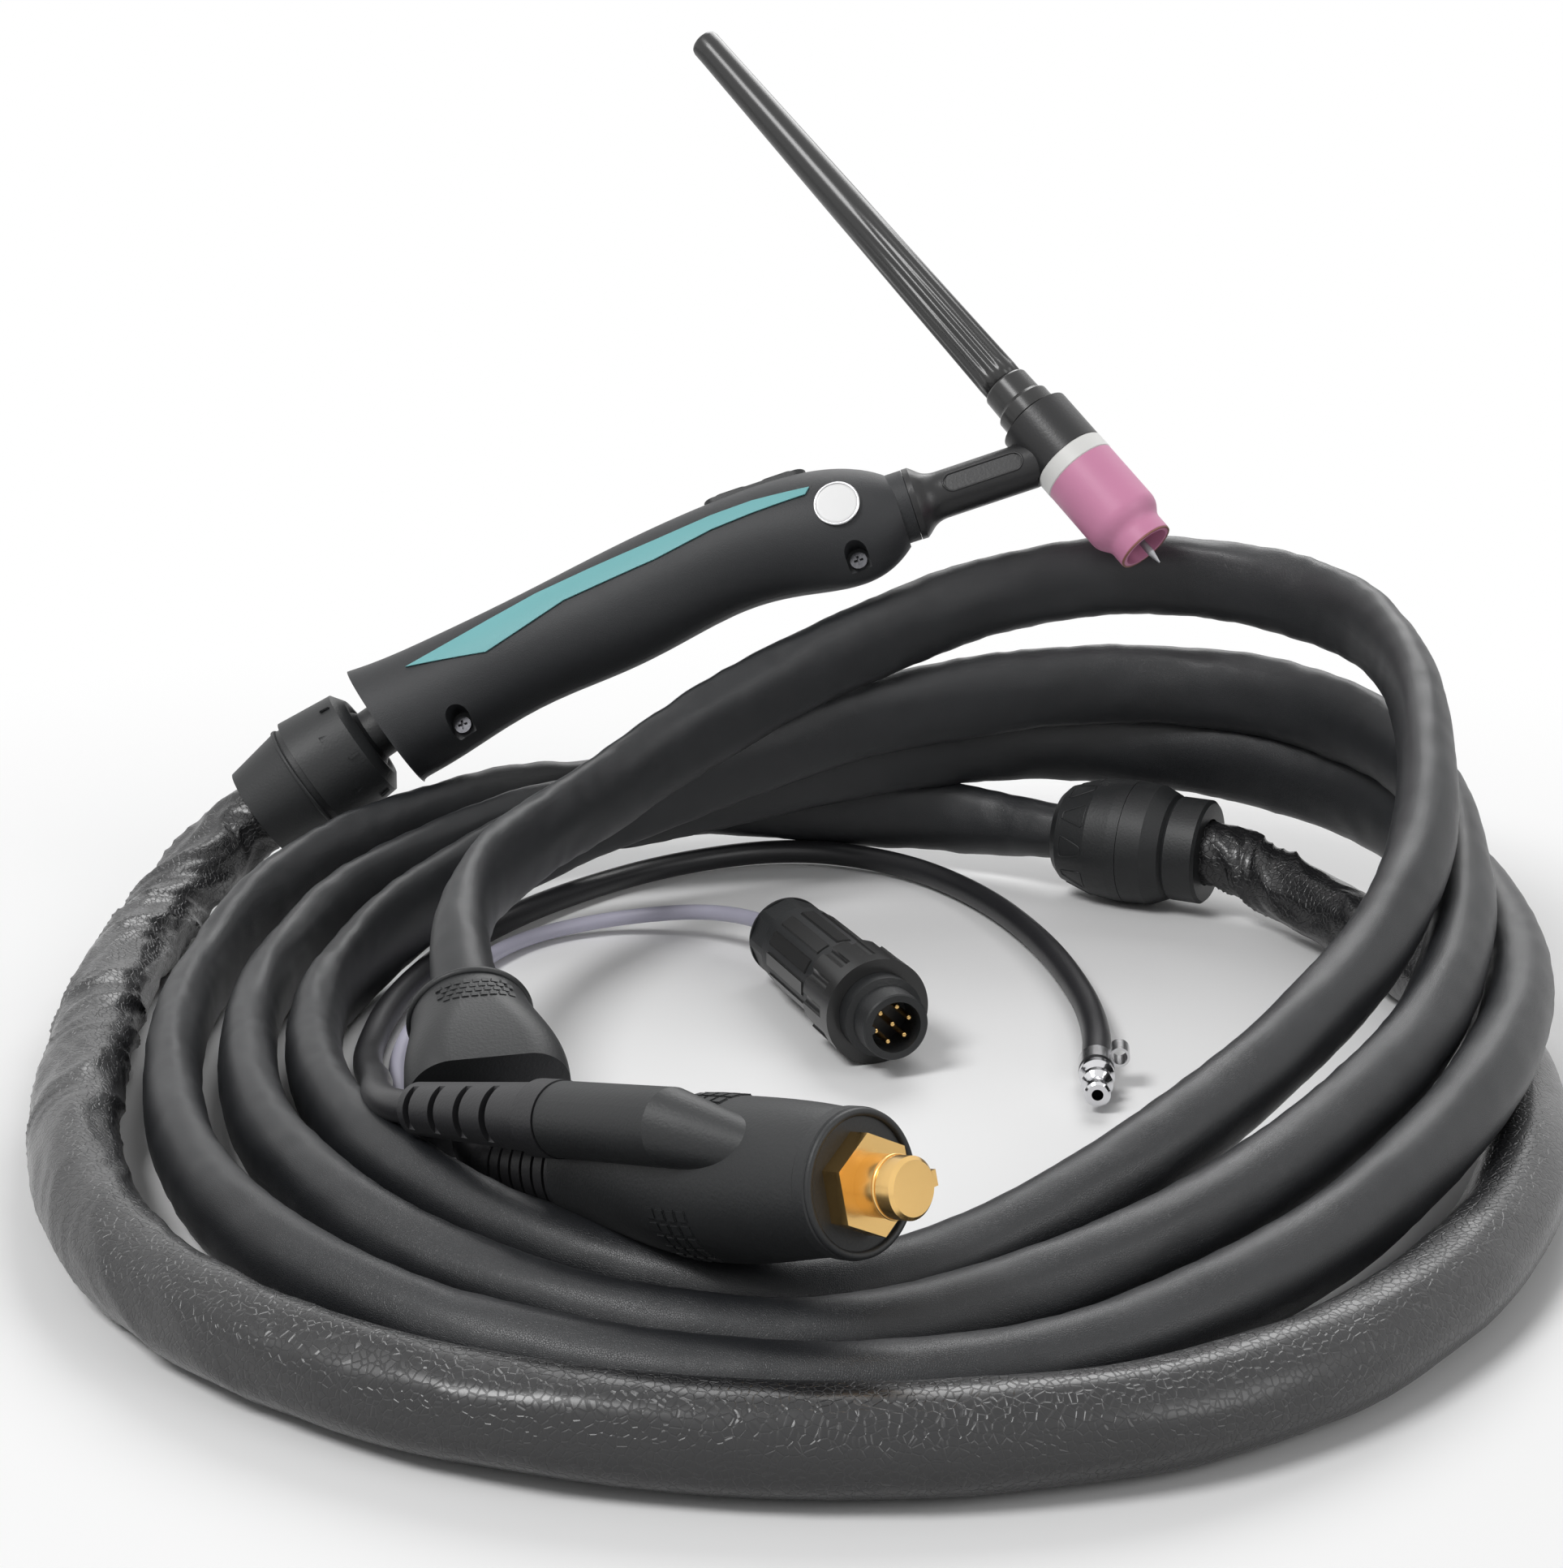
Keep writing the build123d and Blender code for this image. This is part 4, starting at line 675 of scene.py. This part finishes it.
class TORCH_OT_leather_sheath(bpy.types.Operator):
    """Makes the wrinkled leather sheath behind the swivel."""

    bl_idname = "torch.leather_sheath"
    bl_label = "Leather sheath"

    def execute(self, context):
        leave = REAR @ Vector((0, 0, LEATHER_START))
        route = [leave, REAR @ Vector((0, 0, LEATHER_STRAIGHT))]
        route += laid(LEATHER_ROUTE)
        route += [COUPLING @ Vector((0, 0, LEATHER_TURNS_IN)), COUPLING @ Vector((0, 0, LEATHER_END))]
        line = route_line("leather_line", route, 26)
        rings, lifted = sleeve_rings(line, leather_halves, leather_ripple, 48)
        leather = soft_finish(
            "black_leather", colours().leather, roughness=0.3, cells=560.0, folds=110.0, share=0.3,
            depth=0.00016, coat=0.35,
        )
        points, faces = skin_over(rings)
        sheath = piece("leather_sheath_dressed", points, faces, leather, "cable")
        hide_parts("leather_sheath")
        return {"FINISHED"}


# Half thickness of the sleeve at its ends, and its stations in the coupling and the splitter, metres.
SLEEVE_END = 0.0092
SLEEVE_START = 0.0078
SLEEVE_STRAIGHT = -0.010
SLEEVE_IN_HOUSE = 0.0018


def eased(share):
    return share * share * (3 - 2 * share)


def sleeve_halves(gone, length, point):
    """Round at its ends, nearly round in front, standing on edge at the sides and the back."""
    spot = point + PIN_BASE
    turn = math.atan2(spot.y - 0.02, spot.x)
    back = max(0.0, math.sin(turn))
    left = max(0.0, -math.cos(turn))
    right = max(0.0, math.cos(turn)) * (0.35 + 0.65 * back)
    edge = min(1.0, back + 0.62 * left + 0.55 * right)
    width = 0.0096 - 0.0031 * edge
    height = 0.0098 + 0.0040 * edge
    ends = eased(min(1.0, min(gone, length - gone) / 0.07))
    return SLEEVE_END + (width - SLEEVE_END) * ends, SLEEVE_END + (height - SLEEVE_END) * ends


def sleeve_ripple(gone, angle, middle):
    """Broad shallow dents with a few tight wrinkles."""
    broad = noise.noise(Vector((gone * 26, math.cos(angle) * 1.2, math.sin(angle) * 1.2)))
    tight = noise.noise(Vector((gone * 170, math.cos(angle) * 1.5, math.sin(angle) * 1.5)))
    return sizes().sleeve_wrinkle * (1.5 * broad + 0.6 * tight)


class TORCH_OT_rubber_sleeve(bpy.types.Operator):
    """Makes the flattened rubber sleeve that lies in three turns and an arch."""

    bl_idname = "torch.rubber_sleeve"
    bl_label = "Rubber sleeve"

    def execute(self, context):
        leave = COUPLING @ Vector((0, 0, SLEEVE_START))
        route = [leave, COUPLING @ Vector((0, 0, SLEEVE_STRAIGHT)), *laid(SLEEVE_ROUTE)]
        route.append(HOUSE @ Vector((0, 0, SLEEVE_IN_HOUSE)))
        line = route_line("sleeve_line", route, 14)
        rings, lifted = sleeve_rings(line, sleeve_halves, sleeve_ripple, 36)
        rubber = soft_finish(
            "satin_rubber", colours().sleeve, roughness=0.36, cells=2200.0, folds=60.0, share=0.7,
            depth=0.00008,
        )
        points, faces = skin_over(rings)
        sleeve = piece("rubber_sleeve", points, faces, rubber, "cable")
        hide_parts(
            "sleeve_turn_1a", "sleeve_turn_1b", "sleeve_turn_2a", "sleeve_turn_2b",
            "sleeve_turn_3", "sleeve_arch",
        )
        return {"FINISHED"}


def round_cord(name, route, radius, material, node):
    """A round cord on one smooth curve, in place of its CAD node."""
    cord = cord_curve(name, route)
    cord.data.bevel_depth = radius
    cord.data.bevel_resolution = 6
    cord.data.use_fill_caps = True
    cord.data.materials.append(material)
    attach(cord, "cable")
    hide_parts(node)
    return cord


# Where the hose leaves the slotted boot and the control cable the splitter, and where each bends, metres.
BOOT_LENGTH = 0.058
BOOT_STRAIGHT = 0.070
CONTROL_AT = (0.010, -0.009)
CONTROL_START = 0.029
CONTROL_STRAIGHT = 0.046


class TORCH_OT_hoses(bpy.types.Operator):
    """Makes the gas hose and the control cable, and dresses the short power cable."""

    bl_idname = "torch.hoses"
    bl_label = "Gas hose and cables"

    def execute(self, context):
        boot = PLUG @ SLOTTED_START
        back = -(PLUG.to_3x3() @ Vector((0, 0, 1)))
        leave = boot + back * BOOT_LENGTH
        route = [leave, boot + back * BOOT_STRAIGHT, *laid(GAS_ROUTE), on_floor(0.087, 0.005, 0.006)]
        rubber = finish("hose_rubber", (0.016, 0.016, 0.018), roughness=0.38, fine=1500.0, depth=0.00006)
        gas = round_cord("gas_line", route, sizes().gas_radius, rubber, "gas_hose")
        leave = HOUSE @ Vector((*CONTROL_AT, CONTROL_START))
        route = [leave, HOUSE @ Vector((*CONTROL_AT, CONTROL_STRAIGHT)), *laid(CONTROL_ROUTE)]
        route += [ROUND_PLUG @ Vector((0, 0, -0.102)), ROUND_PLUG @ Vector((0, 0, -0.086))]
        lilac = finish("lilac_jacket", colours().lilac, roughness=0.42, fine=1500.0, depth=0.00004)
        radius = sizes().control_radius
        control = round_cord("control_line", route, radius, lilac, "control_cable")
        dress(rubber, "power_cable")
        return {"FINISHED"}


# ---- torch -----------------------------------------------------------------------------
# Millimetres along the head and neck.
CAP_LOW, CAP_SHOULDER, CAP_TAPER_END, CAP_TOP = 29.6, 33.5, 201.5, 207.5
CAP_FOOT_R, CAP_TIP_R = 7.5, 5.35
CAP_ROWS = 64
CAP_FLUTES = 14
NECK_R = 8.0
NECK_DROP = -2.5
OUTLINE_MIDDLE = -27
OUTLINE_STRAIGHT = 10.5
OUTLINE_R = 3.2


def flute(station, angle):
    """Flutes that are deepest at the cap's foot and fade out half way up."""
    fade = max(0.0, min(1.0, (118 - station) / 70)) * max(0.0, min(1.0, (station - 31) / 6))
    return sizes().flute_depth * fade * (0.5 - 0.5 * math.cos(CAP_FLUTES * angle)) ** 1.5


class TORCH_OT_head(bpy.types.Operator):
    """Dresses the nozzle, head and back cap, and makes the fluted cap."""

    bl_idname = "torch.head"
    bl_label = "Head, nozzle and back cap"

    def execute(self, context):
        black = gloss_black()
        profile = [(6.6, CAP_LOW), (7.3, CAP_LOW + 0.2), (CAP_FOOT_R, CAP_SHOULDER)]
        for row in range(1, CAP_ROWS + 1):
            share = row / CAP_ROWS
            station = CAP_SHOULDER + (CAP_TAPER_END - CAP_SHOULDER) * share
            profile.append((CAP_FOOT_R + (CAP_TIP_R - CAP_FOOT_R) * share, station))
        profile += [(CAP_TIP_R, CAP_TOP - 1.6), (5.1, CAP_TOP - 0.6), (4.4, CAP_TOP - 0.1), (2.0, CAP_TOP)]
        points, faces = skin_over(turned(profile, HEAD, 112, flute))
        cap = piece("fluted_cap", points, faces, black, "cap")
        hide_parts("back_cap")
        dress(black, "cap_collar")
        silicone = finish("silicone_head", (0.014, 0.014, 0.015), roughness=0.36, fine=1200.0, depth=0.00004)
        dress(silicone, "head_body")
        ceramic = finish(
            "pink_ceramic", colours().ceramic, roughness=0.42, spread=0.08, fine=1600.0, depth=0.00004,
            drift=0.93, specks=0.25, speck_colour=(0.85, 0.55, 0.66),
        )
        dress(ceramic, "ceramic_nozzle")
        white = finish("white_ptfe", (0.82, 0.82, 0.80), roughness=0.4, drift=0.97, depth=0.00002)
        dress(white, "insulator_ring")
        copper = finish("tinted_copper", (0.42, 0.20, 0.11), roughness=0.38, metallic=1.0, drift=0.6)
        dress(copper, "collet_body", "collet", "head_core", "gas_power_tube")
        dress(finish("tungsten", (0.30, 0.27, 0.25), roughness=0.35, metallic=1.0), "electrode")
        dress(finish("seal_rubber", (0.01, 0.01, 0.01), roughness=0.5), "cap_oring")
        tint = [(8.3, -45.4), (9.0, -46.05), (9.6, -46.05), (9.55, -45.4)]
        brown = finish("heat_tint", (0.30, 0.13, 0.09), roughness=0.4, drift=0.7)
        ring_band("mouth_tint", tint, HEAD, brown, "nozzle")
        for name, facing in (("left", -1), ("right", 1)):
            path = []
            outwards = []
            for step in range(48):
                angle = 2 * math.pi * step / 48
                end = math.copysign(OUTLINE_STRAIGHT, math.cos(angle))
                along = OUTLINE_MIDDLE + OUTLINE_R * math.cos(angle) + end
                across = OUTLINE_R * math.sin(angle)
                outward = Vector((0, facing * math.sqrt(NECK_R ** 2 - across ** 2), across)) / NECK_R
                path.append(TORCH @ ((Vector((along, 0, NECK_DROP)) + outward * NECK_R) * MM))
                outwards.append((TORCH_AXES @ outward).normalized())
            bead("neck_outline_" + name, path, outwards, 0.7, silicone, "torch")
        return {"FINISHED"}


# In the torch's frame, millimetres.
BADGE_PLACE = Vector((-76.0, -1.2, 17.6))
BUTTON_STATIONS = {"front_push": -92.8, "rear_push": -109.2}
BUTTON_TOP = 22.2


class TORCH_OT_handle(bpy.types.Operator):
    """Dresses the handle and makes its badge rims and button ribs."""

    bl_idname = "torch.handle"
    bl_label = "Handle"

    def execute(self, context):
        shell = finish(
            "speckled_handle", colours().handle, roughness=0.52, spread=0.08, fine=2600.0, depth=0.00012,
            specks=0.55, speck_colour=(0.16, 0.165, 0.17),
        )
        dress(shell, "handle_shell_left", "handle_shell_right")
        teal = finish("teal_grip", colours().inlay, roughness=0.5, fine=2200.0, depth=0.00006, drift=0.93)
        dress(teal, "inlay_left", "inlay_right")
        pale = finish("badge_white", (0.66, 0.67, 0.69), roughness=0.3, spread=0.04, drift=0.98, coat=0.2)
        dress(pale, "badge_left", "badge_right")
        dress(finish("dark_screw", (0.05, 0.05, 0.055), roughness=0.35, metallic=0.8), "handle_screws")
        dress(moulded_black(), "trigger_frame", "micro_switches")
        dress(gloss_black(), "front_button", "rear_button")
        dress(finish("green_board", (0.02, 0.12, 0.04), roughness=0.4), "switch_board")
        rim = oval(7.25, 0.1, 0.5, 0.45, 8)
        for name, facing in (("left", -1), ("right", 1)):
            spot = TORCH @ (Vector((BADGE_PLACE.x, facing * BADGE_PLACE.z, BADGE_PLACE.y)) * MM)
            placed = frame_at(spot, TORCH_AXES @ Vector((0, facing, 0)), TORCH_AXES @ Vector((1, 0, 0)))
            ring_band("badge_rim_" + name, rim, placed, bright_steel(), "torch")
        for body, station in BUTTON_STATIONS.items():
            spots = [Vector((station + step, 0, BUTTON_TOP)) * MM for step in (-3, -1, 1, 3)]
            ribs = [TORCH @ Matrix.Translation(spot) for spot in spots]
            pads(body + "_ribs", ribs, (0.9, 5.2, 0.7), gloss_black(), body, 0.2)
        return {"FINISHED"}


class TORCH_OT_swivel(bpy.types.Operator):
    """Dresses the ball, ring nut and clamp cone, and makes the nut's marks and the cone's rim."""

    bl_idname = "torch.swivel"
    bl_label = "Swivel"

    def execute(self, context):
        black = moulded_black()
        dress(black, "swivel_ball", "ring_nut", "clamp_cone")
        marks = [on_side(REAR, (0, 0), math.pi * (k + 0.5) / 3, 20.0, 12.2, slope=0.17) for k in range(6)]
        pads("nut_marks", marks, (1.2, 3.6, 0.9), black, "cable", 0.25)
        ring_band("cone_rim", oval(20.1, 31.9, 0.35, 0.7, 8), REAR, black, "cable")
        return {"FINISHED"}


# ---- pieces along the cable ----------------------------------------------------------
COUPLING_MARKS = 10
MARK_LOW, MARK_HIGH = 4.5, 13
MARK_HALF_ANGLES = (0.07, 0.22)


def mark_reach(station):
    """Radius of the coupling's cone at a station, in millimetres."""
    return 16.5 + (station - 2.5) * 3.7 / 11.5


class TORCH_OT_coupling(bpy.types.Operator):
    """Dresses the two coupling halves and makes the raised outlines around one of them."""

    bl_idname = "torch.coupling"
    bl_label = "Sleeve coupling"

    def execute(self, context):
        black = moulded_black()
        dress(black, "coupling_sleeve_half", "coupling_leather_half")
        for mark in range(COUPLING_MARKS):
            middle = 2 * math.pi * mark / COUPLING_MARKS
            high, low = MARK_HALF_ANGLES if mark % 2 else reversed(MARK_HALF_ANGLES)
            corners = [
                (middle - low, MARK_LOW), (middle + low, MARK_LOW), (middle + high, MARK_HIGH),
                (middle - high, MARK_HIGH),
            ]
            path = []
            outwards = []
            for (angle, station), (next_angle, next_station) in zip(corners, corners[1:] + corners[:1]):
                for share in (0.08, 0.3, 0.5, 0.7, 0.92):
                    turn = angle + (next_angle - angle) * share
                    height = station + (next_station - station) * share
                    outward = Vector((math.cos(turn), math.sin(turn), 0))
                    path.append(COUPLING @ ((outward * mark_reach(height) + Vector((0, 0, height))) * MM))
                    outwards.append((COUPLING.to_3x3() @ outward).normalized())
            bead(f"coupling_mark_{mark + 1}", path, outwards, 0.6, black, "cable")
        return {"FINISHED"}


BRICK_ACROSS, BRICK_ALONG = 2.4, 2.1


def brow_at(across, station):
    """Height and lean of the splitter's rounded brow beside its middle, in millimetres and radians."""
    share = (station + 5) / 13
    wide, high, corner = 15.5 + 2 * share, 15.5 + 1.3 * share, 15.2 - 0.7 * share
    past = max(0.0, abs(across) - (wide - corner))
    lean = math.copysign(math.asin(past / corner), across)
    return high - corner + corner * math.cos(lean), lean


class TORCH_OT_splitter(bpy.types.Operator):
    """Dresses the splitter housing and makes its small bricks and collar rim."""

    bl_idname = "torch.splitter"
    bl_label = "Splitter housing"

    def execute(self, context):
        black = moulded_black()
        dress(black, "splitter_top", "splitter_bottom")
        bricks = []
        for row in range(4):
            shift = BRICK_ACROSS / 2 if row % 2 else 0.0
            for column in range(-4, 4):
                across = column * BRICK_ACROSS + shift + 0.6
                station = 1.5 + row * BRICK_ALONG
                height, lean = brow_at(across, station)
                spot = Matrix.Translation(Vector((across, height, station)) * MM)
                turn = Matrix.Rotation(-lean, 4, "Z") @ Matrix.Rotation(-math.pi / 2, 4, "X")
                bricks.append(HOUSE @ spot @ turn)
        pads("splitter_bricks", bricks, (2.0, 1.7, 0.7), black, "cable", 0.2)
        ring_band("splitter_rim", oval(15.7, -3.6, 1.1, 1.1, 12), HOUSE, black, "cable")
        return {"FINISHED"}


# Station, drop and radius of the machine plug's barrel, and the two grids of pads on it, in millimetres.
BARREL = [(-4.1, 0.0, 15.2), (-18, -0.5, 16.7), (-42, -1.6, 18.0), (-62, -1.2, 17.0), (-89, -2.0, 14.0)]
GRID_COLUMNS, GRID_ROWS = 4, 5
GRID_START, GRID_PITCH = -37.5, 3.5
GRID_TURN = 11
GRID_ANGLES = {"front": 211, "top": 96}


def barrel_at(station):
    """Drop and radius of the machine plug's barrel at a station."""
    for (far, drop, radius), (near, next_drop, next_radius) in zip(BARREL, BARREL[1:]):
        if far >= station >= near:
            share = eased((far - station) / (far - near))
            return drop + (next_drop - drop) * share, radius + (next_radius - radius) * share
    raise RuntimeError(f"station {station} is off the barrel")


class TORCH_OT_machine_plug(bpy.types.Operator):
    """Dresses the machine plug and makes its grip pads, flange rim and pin ring."""

    bl_idname = "torch.machine_plug"
    bl_label = "Machine plug"

    def execute(self, context):
        black = moulded_black()
        dress(black, "plug_shell_upper", "plug_shell_lower", "plug_flange")
        boots = finish("boot_rubber", (0.018, 0.018, 0.02), roughness=0.46, fine=1400.0, depth=0.00008)
        dress(boots, "ribbed_boot", "slotted_boot")
        dress(gold_plate(), "contact_pin")
        pad = sizes().grid_pad / MM
        for name, middle in GRID_ANGLES.items():
            grid = []
            for column in range(GRID_COLUMNS):
                station = GRID_START - GRID_PITCH * column
                drop, radius = barrel_at(station)
                for row in range(GRID_ROWS):
                    angle = math.radians(middle + (row - GRID_ROWS // 2) * GRID_TURN)
                    grid.append(on_side(PLUG, (0, drop), angle, radius, station))
            pads(f"plug_grid_{name}", grid, (pad, pad, 0.9), black, "cable", 0.3)
        ring_band("flange_rim", oval(14.6, 0.25, 0.9, 0.9, 12), PLUG, black, "cable")
        band = [(6.45, 10.2), (6.75, 10.25), (6.8, 10.6), (6.75, 10.95), (6.45, 11.0)]
        ring_band("pin_ring", band, PLUG, gold_plate(), "cable")
        return {"FINISHED"}


class TORCH_OT_small_plug(bpy.types.Operator):
    """Dresses the round control plug, the gas nipple and its clamp, and makes the plug's grip."""

    bl_idname = "torch.small_plug"
    bl_label = "Control plug and gas nipple"

    def execute(self, context):
        dress(gloss_black(), "coupling_ring")
        dress(moulded_black(), "round_plug_body", "cable_nut")
        dress(finish("insert_black", (0.012, 0.012, 0.012), roughness=0.4), "pin_insert")
        dress(gold_plate(), "contact_pins")
        bright = finish("bright_nipple", (0.70, 0.70, 0.72), roughness=0.14, spread=0.06, metallic=1.0)
        dress(bright, "gas_nipple")
        dress(bright_steel(), "ear_clamp")
        flats = [on_side(ROUND_PLUG, (0, 0), 2 * math.pi * k / 12, 12.9, -54.0) for k in range(12)]
        pads("plug_body_grips", flats, (4.6, 30.0, 0.9), gloss_black(), "cable", 0.35)
        return {"FINISHED"}


# ---- stage -----------------------------------------------------------------------------
FLOOR_REACH = 12.0
STAGE_MIDDLE = on_floor(0, 0.02, 0.05)
AMBIENT = 0.27


def lamp(name, spot, size, power):
    """A round soft lamp that faces the middle of the stage."""
    data = bpy.data.lights.new(name, "AREA")
    data.shape = "DISK"
    data.size = size
    data.energy = power
    made = stand(name, data)
    made.location = spot
    made.rotation_euler = (STAGE_MIDDLE - Vector(spot)).to_track_quat("-Z", "Y").to_euler()


def pale_floor():
    """White far away, and shaded where the torch stands, so that the floor meets the white surroundings."""
    pale = bpy.data.materials.new("pale_floor")
    pale.use_nodes = True
    tree = pale.node_tree
    shader = tree.nodes["Principled BSDF"]
    fill(shader, base_color=(0.95, 0.95, 0.95, 1), roughness=0.6)
    shader.inputs["Specular IOR Level"].default_value = 0.15
    where = tree.nodes.new("ShaderNodeTexCoord").outputs["Object"]
    reach = tree.nodes.new("ShaderNodeVectorMath")
    reach.operation = "DISTANCE"
    reach.inputs[1].default_value = on_floor(0, 0.02, 0)
    tree.links.new(where, reach.inputs[0])
    far = add(tree, "ShaderNodeMapRange", from_min=0.25, from_max=0.62)
    far.interpolation_type = "SMOOTHSTEP"
    tree.links.new(reach.outputs["Value"], far.inputs["Value"])
    path = tree.nodes.new("ShaderNodeLightPath")
    seen = combined(tree, "MULTIPLY", far.outputs["Result"], path.outputs["Is Camera Ray"])
    glow = tree.nodes.new("ShaderNodeEmission")
    mix = tree.nodes.new("ShaderNodeMixShader")
    tree.links.new(seen, mix.inputs["Fac"])
    tree.links.new(shader.outputs["BSDF"], mix.inputs[1])
    tree.links.new(glow.outputs["Emission"], mix.inputs[2])
    tree.links.new(mix.outputs["Shader"], tree.nodes["Material Output"].inputs["Surface"])
    return pale


class TORCH_OT_studio(bpy.types.Operator):
    """Sets the pale floor, the white surroundings and the soft lamps."""

    bl_idname = "torch.studio"
    bl_label = "Studio"

    def execute(self, context):
        scene = context.scene
        scene.view_settings.view_transform = "Standard"
        data = bpy.data.meshes.new("floor")
        signs = ((-1, -1), (1, -1), (1, 1), (-1, 1))
        data.from_pydata([(x * FLOOR_REACH, y * FLOOR_REACH, FLOOR_Z) for x, y in signs], [], [(0, 1, 2, 3)])
        floor = stand("floor", data)
        data.materials.append(pale_floor())
        world = bpy.data.worlds.new("studio")
        scene.world = world
        world.use_nodes = True
        tree = world.node_tree
        tree.nodes.clear()
        path = tree.nodes.new("ShaderNodeLightPath")
        seen = combined(tree, "MAXIMUM", path.outputs["Is Camera Ray"], path.outputs["Is Glossy Ray"])
        strength = add(tree, "ShaderNodeMapRange", to_min=AMBIENT, to_max=1.0)
        tree.links.new(seen, strength.inputs["Value"])
        glow = add(tree, "ShaderNodeBackground", color=(1, 1, 1, 1))
        tree.links.new(strength.outputs["Result"], glow.inputs["Strength"])
        out = tree.nodes.new("ShaderNodeOutputWorld")
        tree.links.new(glow.outputs["Background"], out.inputs["Surface"])
        lamp("key", (-0.9, -0.5, 1.5), size=0.7, power=17)
        lamp("fill", (1.3, -0.7, 0.9), size=0.9, power=5)
        lamp("back", (0.3, 1.5, 1.3), size=1.2, power=15)
        return {"FINISHED"}


OPERATORS = (
    TORCH_OT_camera, TORCH_OT_leather_sheath, TORCH_OT_rubber_sleeve, TORCH_OT_hoses, TORCH_OT_head,
    TORCH_OT_handle, TORCH_OT_swivel, TORCH_OT_coupling, TORCH_OT_splitter, TORCH_OT_machine_plug,
    TORCH_OT_small_plug, TORCH_OT_studio,
)


class TORCH_PT_pieces(bpy.types.Panel):
    """Lists the torch's pieces."""

    bl_idname = "TORCH_PT_pieces"
    bl_label = "Torch"
    bl_space_type = "VIEW_3D"
    bl_region_type = "UI"
    bl_category = "Torch"

    def draw(self, context):
        for settings in (context.scene.torch_sizes, context.scene.torch_colours):
            for name in settings.bl_rna.properties.keys():
                if name not in {"rna_type", "name"}:
                    self.layout.prop(settings, name)
        for operator in OPERATORS:
            self.layout.operator(operator.bl_idname)


CLASSES = (TorchSizes, TorchColours, *OPERATORS, TORCH_PT_pieces)


def register():
    for made in CLASSES:
        bpy.utils.register_class(made)
    bpy.types.Scene.torch_sizes = bpy.props.PointerProperty(type=TorchSizes)
    bpy.types.Scene.torch_colours = bpy.props.PointerProperty(type=TorchColours)


def unregister():
    del bpy.types.Scene.torch_colours
    del bpy.types.Scene.torch_sizes
    for made in reversed(CLASSES):
        bpy.utils.unregister_class(made)


def main():
    register()
    for operator in OPERATORS:
        group_name, call = operator.bl_idname.split(".")
        getattr(getattr(bpy.ops, group_name), call)()


if __name__ == "__main__":
    main()
